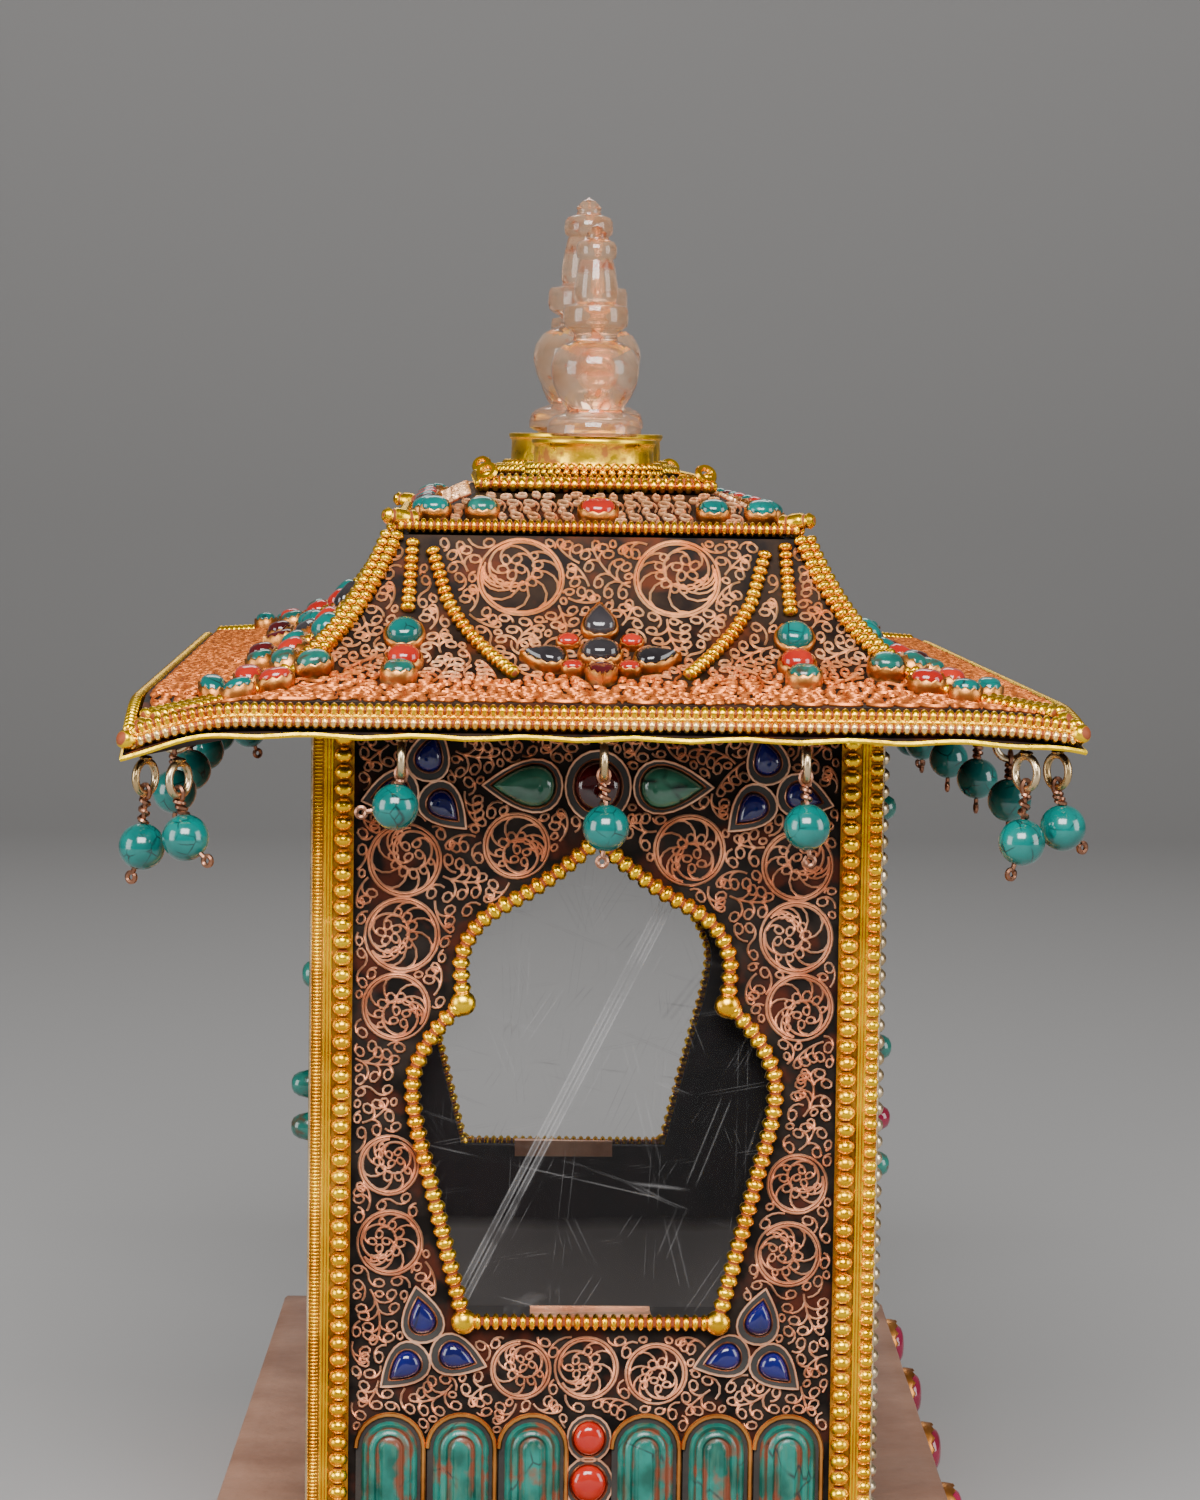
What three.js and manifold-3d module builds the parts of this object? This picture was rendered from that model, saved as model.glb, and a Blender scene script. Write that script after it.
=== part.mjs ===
// Buddhist altar box: a small filigree shrine case on a plinth, with a hipped roof and crystal finials.
// Millimetres, +Z up. X runs across the narrow end, Y along the case, and the origin is on the
// ground under the middle of the eaves. The narrow end with the window faces -Y.
import * as THREE from 'three';
import { mergeVertices } from 'three/addons/utils/BufferGeometryUtils.js';
import Module from 'manifold-3d';

const wasm = await Module();
wasm.setup();

// Clearance between two pieces that rest on or in each other
const gap = 0.3;
// How deep a piece that is soldered on is sunk into what carries it
const sink = 0.25;

// Plinth
const plinthHeight = 17;
const plinthReach = 10;
const plinthFootHeight = 3;
const plinthFootReach = 1.4;
const plinthRimHeight = 1.6;
const plinthRimReach = 0.8;
// The case stands on the plinth a little askew
const plinthTurn = THREE.MathUtils.degToRad(1.8);
const plinthShift = 1.4;
const rubyRadius = 3;
const rubyDrop = 4;
const rubyPitchLong = 30;
const rubyPitchShort = 26;
const rubyReach = 3.4;

// Case walls
const caseWidth = 63;
const caseLength = 116;
const wallHeight = 90;
const panelThickness = 1.6;
const panelSetBack = 1.2;
const postWidth = 2.5;
const beadRadius = 1.1;
const beadLip = 0.45;
const floorThickness = 1.6;
const paneThickness = 1;
const paneMargin = 2.2;

// Windows: half widths at the sill, the belly and the knee, and how far each stands above the sill
const sillHeight = 24;
const bellyRise = 28;
const kneeRise = 35.6;
const shoulderRise = 4.2;
const crownRise = 54;
const endWindow = { sill: 14.1, belly: 20.1, knee: 14.6 };
const frontWindow = { sill: 25.5, belly: 34, knee: 26.5 };
const frameRadius = 0.92;
const knobRadius = 1.45;
const clipWidth = 13.4;
const clipHeight = 0.95;

// Stones in their collars on the walls
const lapisLength = 6.4;
const jadeLength = 8.8;
const garnetRadius = 3.6;
const stonesBelowTop = 6.5;
// Middle of each trio of drops: in from the panel's edge, and below the sill
const upperTrioInset = 9.3;
const lowerTrioInset = 10.6;
const lowerTrioDrop = 3;
// Rosette on the plain back, its middle at a share of the wall's height
const rosetteShare = 0.54;
const rosetteDrops = 8;
const rosetteMiddle = 5.2;
const rosetteReach = 12.5;
const rosetteDrop = { length: 9, width: 6 };

// Row of stone petals along the foot of each wall
const petalWidth = 7.5;
const petalHeight = 12.4;
const petalPitch = 7.95;
const petalFirst = 6.3;
const petalFoot = 1;
const petalStone = 6.2;
const coralRadius = 1.9;

// Roof
const eaveReachEnd = 19;
const eaveReachSide = 19.5;
const eaveTrimHeight = 3.1;
const eaveTrimWidth = 1.6;
const eavePlate = 0.5;
const roofRun = 28.1;
const roofRise = 17;
const roofWall = 1.5;
const soffitBearing = 4.2;
// The corners of the eaves hang down, the near left one most
const cornerDroop = 0.9;
const nearLeftDroop = 2.6;
const droopReach = 13;
const frameBar = 1.5;
const frameOverhang = 0.2;
const upperRise = 4.3;
const upperRun = 9.1;
const upperKerb = 0.8;
const ridgeBar = 1.6;
const roofKnob = 1.5;
const eaveKnob = 1.2;
const cornerKnobInset = 0.3;

// Stones on the roof: columns near the hips, a flower of drops in the middle, a row on the upper band
const roofStone = 1.8;
const roofColumnInset = -0.6;
const flowerDrop = { length: 5.4, width: 3.8 };
const flowerFootDrop = { length: 4.6, width: 3.4 };
const flowerReach = 5.7;
const upperStone = 1.7;
const upperStoneInset = 2.3;
const upperStoneFromHip = 2.9;
const upperStonePitch = 5.4;

// Finials, all turned to one pattern, the middle one larger
const finialSpacing = 29;
const collarRingHeight = 0.9;
const collarBulge = 0.3;
const endCollar = { radius: 7.2, height: 3.4, ring: 8.15 };
const middleCollar = { radius: 9.2, height: 3.95, ring: 11.8 };
const endCrystal = { radius: 5.76, height: 24.6 };
const middleCrystal = { radius: 7.37, height: 28.6 };

// Bead pendants under the eaves
const ringRadius = 1.75;
const ringWire = 0.42;
const wireRadius = 0.3;
const pendantBead = 2.5;
const pendantDrop = 8.6;
const pendantInset = 3.6;
const pendantPitchEnd = 21.5;
const pendantPitchSide = 29;
const pendantsOnSide = 4;
const pairReach = 2.2;
const pairInset = 0.6;

// Outer sizes of the plinth and of the eaves, which follow the case
const plinthWidth = caseWidth + 2 * plinthReach;
const plinthLength = caseLength + 2 * plinthReach;
const eaveWidth = caseWidth + 2 * eaveReachSide;
const eaveLength = caseLength + 2 * eaveReachEnd;

// Levels, from the ground up
const caseFoot = plinthHeight + gap;
const caseTop = caseFoot + wallHeight;
const soffit = caseTop + gap;
const eaveTop = soffit + eavePlate + gap + eaveTrimHeight;
const deckLevel = eaveTop - gap + roofRise;
const upperFoot = deckLevel + gap;
const ridgeLevel = upperFoot + upperRise;
const ridgeDeck = ridgeLevel + ridgeBar;
const sill = caseFoot + sillHeight;

const finish = (values) => new THREE.MeshStandardMaterial(values);
const materials = {
  copper: finish({ color: 0xb5714c, roughness: 0.45, metalness: 0.85 }),
  darkCopper: finish({ color: 0x8f6248, roughness: 0.6, metalness: 0.6 }),
  gilt: finish({ color: 0xd9a52a, roughness: 0.3, metalness: 1 }),
  glass: finish({ color: 0xdfe4e4, roughness: 0.1, transparent: true, opacity: 0.3 }),
  crystal: finish({ color: 0xe8c3ac, roughness: 0.1, transparent: true, opacity: 0.6 }),
  turquoise: finish({ color: 0x2f8f82, roughness: 0.45, metalness: 0 }),
  lining: finish({ color: 0x2a1714, roughness: 0.8, metalness: 0 }),
};

// Solids and joins

function solidOf(geometry) {
  const bare = geometry.index ? geometry.toNonIndexed() : geometry.clone();
  bare.deleteAttribute('normal');
  bare.deleteAttribute('uv');
  const merged = mergeVertices(bare, 1e-4);
  const vertProperties = new Float32Array(merged.attributes.position.array);
  const triVerts = new Uint32Array(merged.index.array);
  return new wasm.Manifold(new wasm.Mesh({ numProp: 3, vertProperties, triVerts }));
}

function geometryOf(solid) {
  const mesh = solid.getMesh();
  const geometry = new THREE.BufferGeometry();
  geometry.setAttribute('position', new THREE.BufferAttribute(new Float32Array(mesh.vertProperties), 3));
  geometry.setIndex(new THREE.BufferAttribute(new Uint32Array(mesh.triVerts), 1));
  return geometry;
}

function fuse(geometries) {
  return geometryOf(geometries.map(solidOf).reduce((whole, piece) => whole.add(piece)));
}

// A closed body from rings of equal count, its first and last ring closed by a fan
function loft(rings) {
  const count = rings[0].length;
  const points = rings.flat();
  const faces = [];
  for (let r = 0; r + 1 < rings.length; r += 1) {
    for (let i = 0; i < count; i += 1) {
      const a = r * count + i;
      const b = r * count + ((i + 1) % count);
      faces.push(a, b, b + count, a, b + count, a + count);
    }
  }
  const addCap = (first, turned) => {
    const middle = new THREE.Vector3();
    for (let i = 0; i < count; i += 1) middle.addScaledVector(points[first + i], 1 / count);
    const apex = points.push(middle) - 1;
    for (let i = 0; i < count; i += 1) {
      const a = first + i;
      const b = first + ((i + 1) % count);
      if (turned) faces.push(b, a, apex);
      else faces.push(a, b, apex);
    }
  };
  addCap(0, true);
  addCap((rings.length - 1) * count, false);
  const geometry = new THREE.BufferGeometry().setFromPoints(points);
  geometry.setIndex(faces);
  return geometry;
}

// Turns a piece made lying in XY with its face up so that it stands on a wall. The wall is given
// by the way it faces: 0 for -Y, 1 for +X, 2 for +Y, 3 for -X
function standOnWall(geometry, side, faceDistance) {
  return geometry
    .rotateX(Math.PI / 2)
    .translate(0, -faceDistance, 0)
    .rotateZ((side * Math.PI) / 2);
}

function extrude(shape, depth, curveSegments = 6) {
  return new THREE.ExtrudeGeometry(shape, { depth, bevelEnabled: false, curveSegments });
}

// Stones in their collars

function roundStone(radius, height, sides = 6) {
  const profile = [
    new THREE.Vector2(0, -sink),
    new THREE.Vector2(radius, -sink),
    new THREE.Vector2(radius, height * 0.55),
    new THREE.Vector2(0, height),
  ];
  return new THREE.LatheGeometry(profile, sides).rotateX(Math.PI / 2);
}

// A drop-shaped stone, its point along +Y
function dropStone(length, width, height) {
  const outline = (size) => {
    const points = [];
    const round = 3;
    for (let i = 0; i <= round; i += 1) {
      const angle = Math.PI + (Math.PI * i) / round;
      points.push(new THREE.Vector2(Math.cos(angle), Math.sin(angle)).multiplyScalar((width * size) / 2));
    }
    points.push(new THREE.Vector2(0, (length - width / 2) * size));
    return points.map((p) => new THREE.Vector2(p.x, p.y - (length - width) * 0.3));
  };
  const ring = (size, z) => outline(size).map((p) => new THREE.Vector3(p.x, p.y, z));
  return loft([ring(1, -sink), ring(0.8, height)]);
}

function placeStone(stone, x, y, turn = 0) {
  return stone.rotateZ(turn).translate(x, y, 0);
}

// Window outline: a vase-shaped lower part, a step in at the knee, and a pointed arch above

function windowOutline({ sill: foot, belly, knee }, grow = 0) {
  const kneeLevel = sill + kneeRise;
  const shoulder = kneeLevel + shoulderRise;
  const crown = sill + crownRise + grow * 1.6;
  const flank = foot + (belly - foot) * 0.72;
  const right = new THREE.Path();
  right.moveTo(foot + grow, sill - grow);
  right.lineTo(flank + grow, sill + bellyRise * 0.62);
  right.quadraticCurveTo(belly + grow + 0.6, sill + bellyRise * 0.9, belly + grow - 0.2, sill + bellyRise);
  right.quadraticCurveTo(belly + grow - 1.6, sill + kneeRise * 0.91, knee + grow, kneeLevel);
  right.lineTo(knee + grow + 0.3, shoulder);
  right.quadraticCurveTo(knee + grow, shoulder + 4.6, knee * 0.66 + grow, shoulder + 7);
  right.quadraticCurveTo(knee * 0.3, crown - 4.4, 0, crown);
  const points = right.getPoints(3);
  const left = points.slice(0, -1).reverse().map(({ x, y }) => new THREE.Vector2(-x, y));
  return [...points, ...left];
}

function windowFrame(size) {
  const band = new THREE.Shape(windowOutline(size, frameRadius));
  band.holes.push(new THREE.Path(windowOutline(size, -frameRadius)));
  const knobs = [];
  for (const sign of [-1, 1]) {
    for (const [x, y] of [[size.knee, sill + kneeRise], [size.sill, sill]]) {
      knobs.push(new THREE.SphereGeometry(knobRadius, 6, 4).translate(sign * x, y, knobRadius * 0.8));
    }
  }
  return fuse([extrude(band, frameRadius * 1.7), ...knobs]);
}

// Walls

const endHalf = caseWidth / 2 - postWidth - gap;
const sideHalf = caseLength / 2 - postWidth - gap;
const endFace = caseLength / 2 - panelSetBack;
const sideFace = caseWidth / 2 - panelSetBack;

function plate(half, window) {
  const shape = new THREE.Shape();
  shape.moveTo(-half, caseFoot);
  shape.lineTo(half, caseFoot);
  shape.lineTo(half, caseTop);
  shape.lineTo(-half, caseTop);
  shape.closePath();
  if (window) shape.holes.push(new THREE.Path(windowOutline(window)));
  return extrude(shape, panelThickness).translate(0, 0, -panelThickness);
}

// Three lapis drops about a point, the first one pointing away from the foot of the wall
function dropTrio(x, y, turn) {
  const reach = lapisLength * 0.52;
  return [0, 1, 2].map((i) => {
    const angle = turn + (i * 2 * Math.PI) / 3;
    const stone = dropStone(lapisLength, lapisLength * 0.7, 1.1);
    return placeStone(stone, x - Math.sin(angle) * reach, y + Math.cos(angle) * reach, angle);
  });
}

function windowStones(half) {
  const top = caseTop - stonesBelowTop;
  const quarter = Math.PI / 2;
  const stones = [placeStone(roundStone(garnetRadius, 1.5, 8), 0, top)];
  for (const sign of [-1, 1]) {
    const jadePlace = sign * (garnetRadius + jadeLength * 0.47);
    stones.push(placeStone(dropStone(jadeLength, jadeLength * 0.72, 1.4), jadePlace, top, -sign * quarter));
    stones.push(...dropTrio(sign * (half - upperTrioInset), top, sign * 0.25));
    stones.push(...dropTrio(sign * (half - lowerTrioInset), sill - lowerTrioDrop, -sign * 0.2));
  }
  return stones;
}

function paneClip(size) {
  const tab = new THREE.Shape();
  const hold = paneThickness + 2 * gap;
  const half = Math.min(clipWidth / 2, size.sill * 0.6);
  tab.moveTo(-sink, sill - paneMargin - gap - clipHeight);
  tab.lineTo(hold + clipHeight, sill - paneMargin - gap - clipHeight);
  tab.lineTo(hold + clipHeight, sill + clipHeight);
  tab.lineTo(hold, sill + clipHeight);
  tab.lineTo(hold, sill - paneMargin - gap);
  tab.lineTo(-sink, sill - paneMargin - gap);
  tab.closePath();
  return extrude(tab, half * 2)
    .translate(0, 0, -half)
    .rotateY(Math.PI / 2)
    .translate(0, 0, -panelThickness);
}

function windowPanel(half, window) {
  return fuse([plate(half, window), paneClip(window), ...windowStones(half)]);
}

// The plain back: a large rosette of drops where the window would be
function backPanel(half) {
  const middle = caseFoot + wallHeight * rosetteShare;
  const stones = [placeStone(roundStone(rosetteMiddle, 2, 8), 0, middle)];
  for (let i = 0; i < rosetteDrops; i += 1) {
    const angle = (i * 2 * Math.PI) / rosetteDrops;
    const x = -Math.sin(angle) * rosetteReach;
    const y = middle + Math.cos(angle) * rosetteReach;
    stones.push(placeStone(dropStone(rosetteDrop.length, rosetteDrop.width, 1.4), x, y, angle));
  }
  return fuse([plate(half), ...stones, ...windowStones(half)]);
}

function pane(size) {
  const reach = size.belly + paneMargin;
  const low = sill - paneMargin;
  const high = sill + crownRise + paneMargin;
  return new THREE.BoxGeometry(reach * 2, high - low, paneThickness)
    .translate(0, (low + high) / 2, -panelThickness - gap - paneThickness / 2);
}

// Corner post: a square bar with a lip over each panel's edge that carries the line of beads.
// Drawn for the corner at +X, +Y
function post(beadOnSide) {
  const outerX = caseWidth / 2;
  const outerY = caseLength / 2;
  const innerX = outerX - postWidth;
  const innerY = outerY - postWidth;
  const lipX = innerX - beadRadius * 2;
  const lipY = innerY - beadRadius * 2;
  const seatX = outerX - panelSetBack + gap;
  const seatY = outerY - panelSetBack + gap;
  const shape = new THREE.Shape();
  shape.moveTo(innerX, innerY);
  shape.lineTo(innerX, seatY);
  shape.lineTo(lipX, seatY);
  shape.lineTo(lipX, seatY + beadLip);
  shape.absarc(lipX + beadRadius, seatY + beadLip, beadRadius, Math.PI, 0, true);
  shape.lineTo(innerX, outerY);
  shape.lineTo(outerX, outerY);
  shape.lineTo(outerX, innerY);
  if (beadOnSide) {
    shape.lineTo(seatX + beadLip, innerY);
    shape.absarc(seatX + beadLip, innerY - beadRadius, beadRadius, Math.PI / 2, -Math.PI / 2, true);
    shape.lineTo(seatX + beadLip, lipY);
  } else {
    shape.lineTo(outerX, lipY);
  }
  shape.lineTo(seatX, lipY);
  shape.lineTo(seatX, innerY);
  shape.closePath();
  return extrude(shape, wallHeight, 5).translate(0, 0, caseFoot);
}

function petalOutline(width, height) {
  const shape = new THREE.Shape();
  const radius = width / 2;
  shape.moveTo(-radius, 0);
  shape.lineTo(radius, 0);
  shape.absarc(0, height - radius, radius, 0, Math.PI, false);
  shape.closePath();
  return shape;
}

// A row of arches side by side on one strip: the collars of the petals, cut from one outline
function archRow(count) {
  const radius = petalWidth / 2;
  const spring = petalHeight - radius;
  const centres = [];
  for (let i = 0; i < count; i += 1) centres.push(petalFirst + i * petalPitch);
  const shape = new THREE.Shape();
  const reach = centres[count - 1] + radius;
  shape.moveTo(-reach, 0);
  shape.lineTo(reach, 0);
  for (const x of [...centres].reverse()) shape.absarc(x, spring, radius, 0, Math.PI, false);
  for (const x of centres) shape.absarc(-x, spring, radius, 0, Math.PI, false);
  shape.closePath();
  return extrude(shape, 0.9, 2);
}

// Petals in their collars, with two corals in the middle
function petalRow(half) {
  const room = half - 2 * beadRadius - petalFirst - petalWidth / 2;
  const count = 1 + Math.floor(room / petalPitch);
  const pieces = [archRow(count)];
  const margin = (petalWidth - petalStone) / 2;
  for (let i = 0; i < count; i += 1) {
    for (const sign of [-1, 1]) {
      const x = sign * (petalFirst + i * petalPitch);
      const stone = extrude(petalOutline(petalStone, petalHeight - 2 * margin), 0.8, 2);
      pieces.push(stone.translate(x, margin, 0.7));
    }
  }
  const lower = petalHeight * 0.37;
  pieces.push(roundStone(coralRadius * 1.12, 1, 7).translate(0, lower, 0.9));
  pieces.push(roundStone(coralRadius, 1.3, 7).translate(0, lower + coralRadius * 2.7, 0.4));
  return fuse(pieces).translate(0, caseFoot + petalFoot, gap);
}

// Floor of the case, inside the walls

function caseFloor() {
  const width = 2 * (sideFace - panelThickness - gap);
  const length = 2 * (endFace - panelThickness - gap);
  const corner = postWidth + gap;
  const x = width / 2;
  const y = length / 2;
  const cutX = caseWidth / 2 - corner;
  const cutY = caseLength / 2 - corner;
  const shape = new THREE.Shape();
  shape.moveTo(-Math.min(x, cutX), -y);
  shape.lineTo(Math.min(x, cutX), -y);
  shape.lineTo(x, -Math.min(y, cutY));
  shape.lineTo(x, Math.min(y, cutY));
  shape.lineTo(Math.min(x, cutX), y);
  shape.lineTo(-Math.min(x, cutX), y);
  shape.lineTo(-x, Math.min(y, cutY));
  shape.lineTo(-x, -Math.min(y, cutY));
  shape.closePath();
  return extrude(shape, floorThickness).translate(0, 0, caseFoot);
}

// Plinth

function plinth() {
  const block = (grow, low, high) => {
    const size = [plinthWidth + 2 * grow, plinthLength + 2 * grow, high - low];
    return new THREE.BoxGeometry(...size).translate(0, 0, (low + high) / 2);
  };
  const pieces = [
    block(plinthFootReach, 0, plinthFootHeight),
    block(0, 0, plinthHeight),
    block(plinthRimReach, plinthHeight - plinthRimHeight, plinthHeight),
  ];
  const level = plinthHeight - rubyDrop;
  const row = (side, reach, pitch, count) => {
    for (let i = 0; i < count; i += 1) {
      const along = (i - (count - 1) / 2) * pitch;
      pieces.push(standOnWall(roundStone(rubyRadius, rubyReach, 6).translate(along, level, 0), side, reach));
    }
  };
  for (const side of [0, 2]) row(side, plinthLength / 2, rubyPitchShort, 3);
  for (const side of [1, 3]) row(side, plinthWidth / 2, rubyPitchLong, 5);
  return fuse(pieces).rotateZ(-plinthTurn).translate(plinthShift, 0, 0);
}

// Roof: every ring is a rectangle whose sides are divided so that the corners can hang

function droopAt(x, y, halfX, halfY) {
  const fromCorner = Math.hypot(halfX - Math.abs(x), halfY - Math.abs(y));
  const amount = x < 0 && y < 0 ? nearLeftDroop : cornerDroop;
  const share = Math.max(0, 1 - fromCorner / droopReach);
  return amount * share * share;
}

function rectangleRing(halfX, halfY, z, hang = 1, shares = [0.11, 0.89]) {
  const corners = [[-halfX, -halfY], [halfX, -halfY], [halfX, halfY], [-halfX, halfY]];
  const points = [];
  corners.forEach(([x, y], i) => {
    const [nextX, nextY] = corners[(i + 1) % 4];
    for (const share of [0, ...shares]) {
      const px = x + (nextX - x) * share;
      const py = y + (nextY - y) * share;
      points.push(new THREE.Vector3(px, py, z - hang * droopAt(px, py, halfX, halfY)));
    }
  });
  return points;
}

// Height of the concave slope above the eave, at a share of its run
function slopeShare(share) {
  return 0.12 * share + 0.88 * share ** 4;
}

const slopeHalfX = eaveWidth / 2 - eaveTrimWidth - gap;
const slopeHalfY = eaveLength / 2 - eaveTrimWidth - gap;
const slopeRun = roofRun - eaveTrimWidth - gap;
const slopeFoot = eaveTop - gap;

function slopeHeight(inset) {
  return slopeFoot + roofRise * slopeShare(inset / slopeRun);
}

function slopeRing(inset) {
  return rectangleRing(slopeHalfX - inset, slopeHalfY - inset, slopeHeight(inset), 1 - inset / slopeRun);
}

// A stone on a slope: along the eave, in from the slope's foot, standing square to the slope
function stoneOnSlope(stone, side, along, inset, turn = 0) {
  const step = 0.4;
  const tilt = Math.atan2(slopeHeight(inset + step) - slopeHeight(inset - step), 2 * step);
  const half = side % 2 === 0 ? slopeHalfY : slopeHalfX;
  const angle = (side * Math.PI) / 2;
  const foot = new THREE.Vector2(along, -(half - inset)).rotateAround(new THREE.Vector2(), angle);
  const hang = (1 - inset / slopeRun) * droopAt(foot.x, foot.y, slopeHalfX - inset, slopeHalfY - inset);
  return stone
    .rotateZ(turn)
    .rotateX(tilt)
    .rotateZ(angle)
    .translate(foot.x, foot.y, slopeHeight(inset) - hang);
}

// On each slope: a column of three stones towards either end, two more out along the hip,
// and a flower of drops in the middle
function slopeStones(side) {
  const half = side % 2 === 0 ? slopeHalfX : slopeHalfY;
  const stones = [];
  for (const sign of [-1, 1]) {
    const along = sign * (half - slopeRun - roofColumnInset);
    for (const share of [0.44, 0.58, 0.73]) {
      stones.push(stoneOnSlope(roundStone(roofStone, 1.9, 5), side, along, share * slopeRun));
    }
    for (const [out, share] of [[3, 0.46], [6, 0.32]]) {
      const place = along + sign * out * roofStone;
      stones.push(stoneOnSlope(roundStone(roofStone, 1.7, 5), side, place, share * slopeRun));
    }
    const sideDrop = dropStone(flowerDrop.length, flowerDrop.width, 1.3);
    stones.push(stoneOnSlope(sideDrop, side, sign * flowerReach, 0.6 * slopeRun, -sign * 1.4));
  }
  const topDrop = dropStone(flowerDrop.length, flowerDrop.width, 1.3);
  const footDrop = dropStone(flowerFootDrop.length, flowerFootDrop.width, 1.3);
  stones.push(stoneOnSlope(roundStone(roofStone * 1.17, 2), side, 0, 0.63 * slopeRun));
  stones.push(stoneOnSlope(topDrop, side, 0, 0.8 * slopeRun));
  stones.push(stoneOnSlope(footDrop, side, 0, 0.48 * slopeRun, Math.PI));
  return stones;
}

function lowerRoof() {
  const openX = caseWidth / 2 - soffitBearing;
  const openY = caseLength / 2 - soffitBearing;
  const plateX = eaveWidth / 2 - gap;
  const plateY = eaveLength / 2 - gap;
  const plateTop = soffit + eavePlate;
  const floorTop = soffit + roofWall;
  const shares = [0.4, 0.66, 0.85];
  const shell = loft([
    rectangleRing(openX, openY, soffit, 0),
    rectangleRing(caseWidth / 2 + 1, caseLength / 2 + 1, soffit, 0),
    rectangleRing(plateX, plateY, soffit),
    rectangleRing(plateX, plateY, plateTop),
    rectangleRing(slopeHalfX, slopeHalfY, plateTop),
    ...[0, ...shares, 1].map((share) => slopeRing(share * slopeRun)),
  ]);
  const hollowRing = (share, level) => {
    const inset = share * slopeRun + roofWall * 1.5;
    return rectangleRing(slopeHalfX - inset, slopeHalfY - inset, level, 0);
  };
  const hollow = loft([
    rectangleRing(openX, openY, soffit - 1, 0),
    rectangleRing(openX, openY, floorTop, 0),
    hollowRing(shares[0], floorTop),
    ...shares.map((share) => hollowRing(share, slopeHeight(share * slopeRun) - roofWall)),
  ]);
  const stones = [0, 1, 2, 3].flatMap(slopeStones);
  return geometryOf(solidOf(fuse([shell, ...stones])).subtract(solidOf(hollow)));
}

// A closed band whose square section runs round a rectangle
function rectangleBand(outerX, outerY, width, low, high, hang) {
  const inX = outerX - width;
  const inY = outerY - width;
  const shares = hang ? [0.11, 0.89] : [];
  const rings = [
    rectangleRing(inX, inY, low, hang, shares),
    rectangleRing(outerX, outerY, low, hang, shares),
    rectangleRing(outerX, outerY, high, hang, shares),
    rectangleRing(inX, inY, high, hang, shares),
  ];
  const count = rings[0].length;
  const points = rings.flat();
  const faces = [];
  rings.forEach((ring, r) => {
    const next = ((r + 1) % rings.length) * count;
    for (let i = 0; i < count; i += 1) {
      const a = r * count + i;
      const b = r * count + ((i + 1) % count);
      const c = next + ((i + 1) % count);
      const d = next + i;
      faces.push(a, b, c, a, c, d);
    }
  });
  const geometry = new THREE.BufferGeometry().setFromPoints(points);
  geometry.setIndex(faces);
  return geometry;
}

function knobsAtCorners(x, y, z, radius, droops) {
  const knobs = [];
  for (const signX of [-1, 1]) {
    for (const signY of [-1, 1]) {
      const amount = signX < 0 && signY < 0 ? nearLeftDroop : cornerDroop;
      const drop = droops ? amount : 0;
      const knob = new THREE.SphereGeometry(radius, 6, 4);
      knobs.push(knob.translate(signX * x, signY * y, z - drop));
    }
  }
  return knobs;
}

function eaveTrim() {
  const low = soffit + eavePlate + gap;
  const high = low + eaveTrimHeight;
  const band = rectangleBand(eaveWidth / 2, eaveLength / 2, eaveTrimWidth, low, high, 1);
  const knobX = eaveWidth / 2 - eaveKnob / 3;
  const knobY = eaveLength / 2 - eaveKnob / 3;
  const knobLevel = (low + high) / 2 + eaveKnob / 4;
  return fuse([band, ...knobsAtCorners(knobX, knobY, knobLevel, eaveKnob, true)]);
}

const frameHalfX = eaveWidth / 2 - roofRun + frameOverhang;
const frameHalfY = eaveLength / 2 - roofRun + frameOverhang;
const upperHalfX = frameHalfX - frameBar - gap;
const upperHalfY = frameHalfY - frameBar - gap;
const ridgeHalfX = upperHalfX - upperRun + ridgeBar;
const ridgeHalfY = upperHalfY - upperRun + ridgeBar;

function roofFrame() {
  const low = deckLevel + gap;
  const band = rectangleBand(frameHalfX, frameHalfY, frameBar, low, low + frameBar, 0);
  const knobX = frameHalfX - 2 * frameOverhang - cornerKnobInset;
  const knobY = frameHalfY - 2 * frameOverhang - cornerKnobInset;
  return fuse([band, ...knobsAtCorners(knobX, knobY, low + roofKnob, roofKnob, false)]);
}

function upperRoof() {
  const seatX = ridgeHalfX - ridgeBar - gap;
  const seatY = ridgeHalfY - ridgeBar - gap;
  const slopeStart = upperFoot + upperKerb;
  const shell = loft([
    rectangleRing(upperHalfX, upperHalfY, upperFoot, 0, []),
    rectangleRing(upperHalfX, upperHalfY, slopeStart, 0, []),
    rectangleRing(ridgeHalfX, ridgeHalfY, ridgeLevel, 0, []),
    rectangleRing(seatX, seatY, ridgeLevel, 0, []),
    rectangleRing(seatX, seatY, ridgeDeck, 0, []),
  ]);
  const pieces = [shell];
  const rise = (ridgeLevel - slopeStart) / (upperHalfX - ridgeHalfX);
  const bandStone = (side, along) => {
    const half = side % 2 === 0 ? upperHalfY : upperHalfX;
    return roundStone(upperStone, upperStone, 5)
      .rotateX(Math.atan(rise))
      .translate(along, -(half - upperStoneInset), slopeStart + upperStoneInset * rise)
      .rotateZ((side * Math.PI) / 2);
  };
  for (const side of [0, 1, 2, 3]) {
    const outer = (side % 2 === 0 ? upperHalfX : upperHalfY) - upperStoneFromHip;
    for (const along of [-outer, 0, outer]) pieces.push(bandStone(side, along));
    for (const sign of [-1, 1]) pieces.push(bandStone(side, sign * (outer - upperStonePitch)));
  }
  return fuse(pieces);
}

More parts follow.
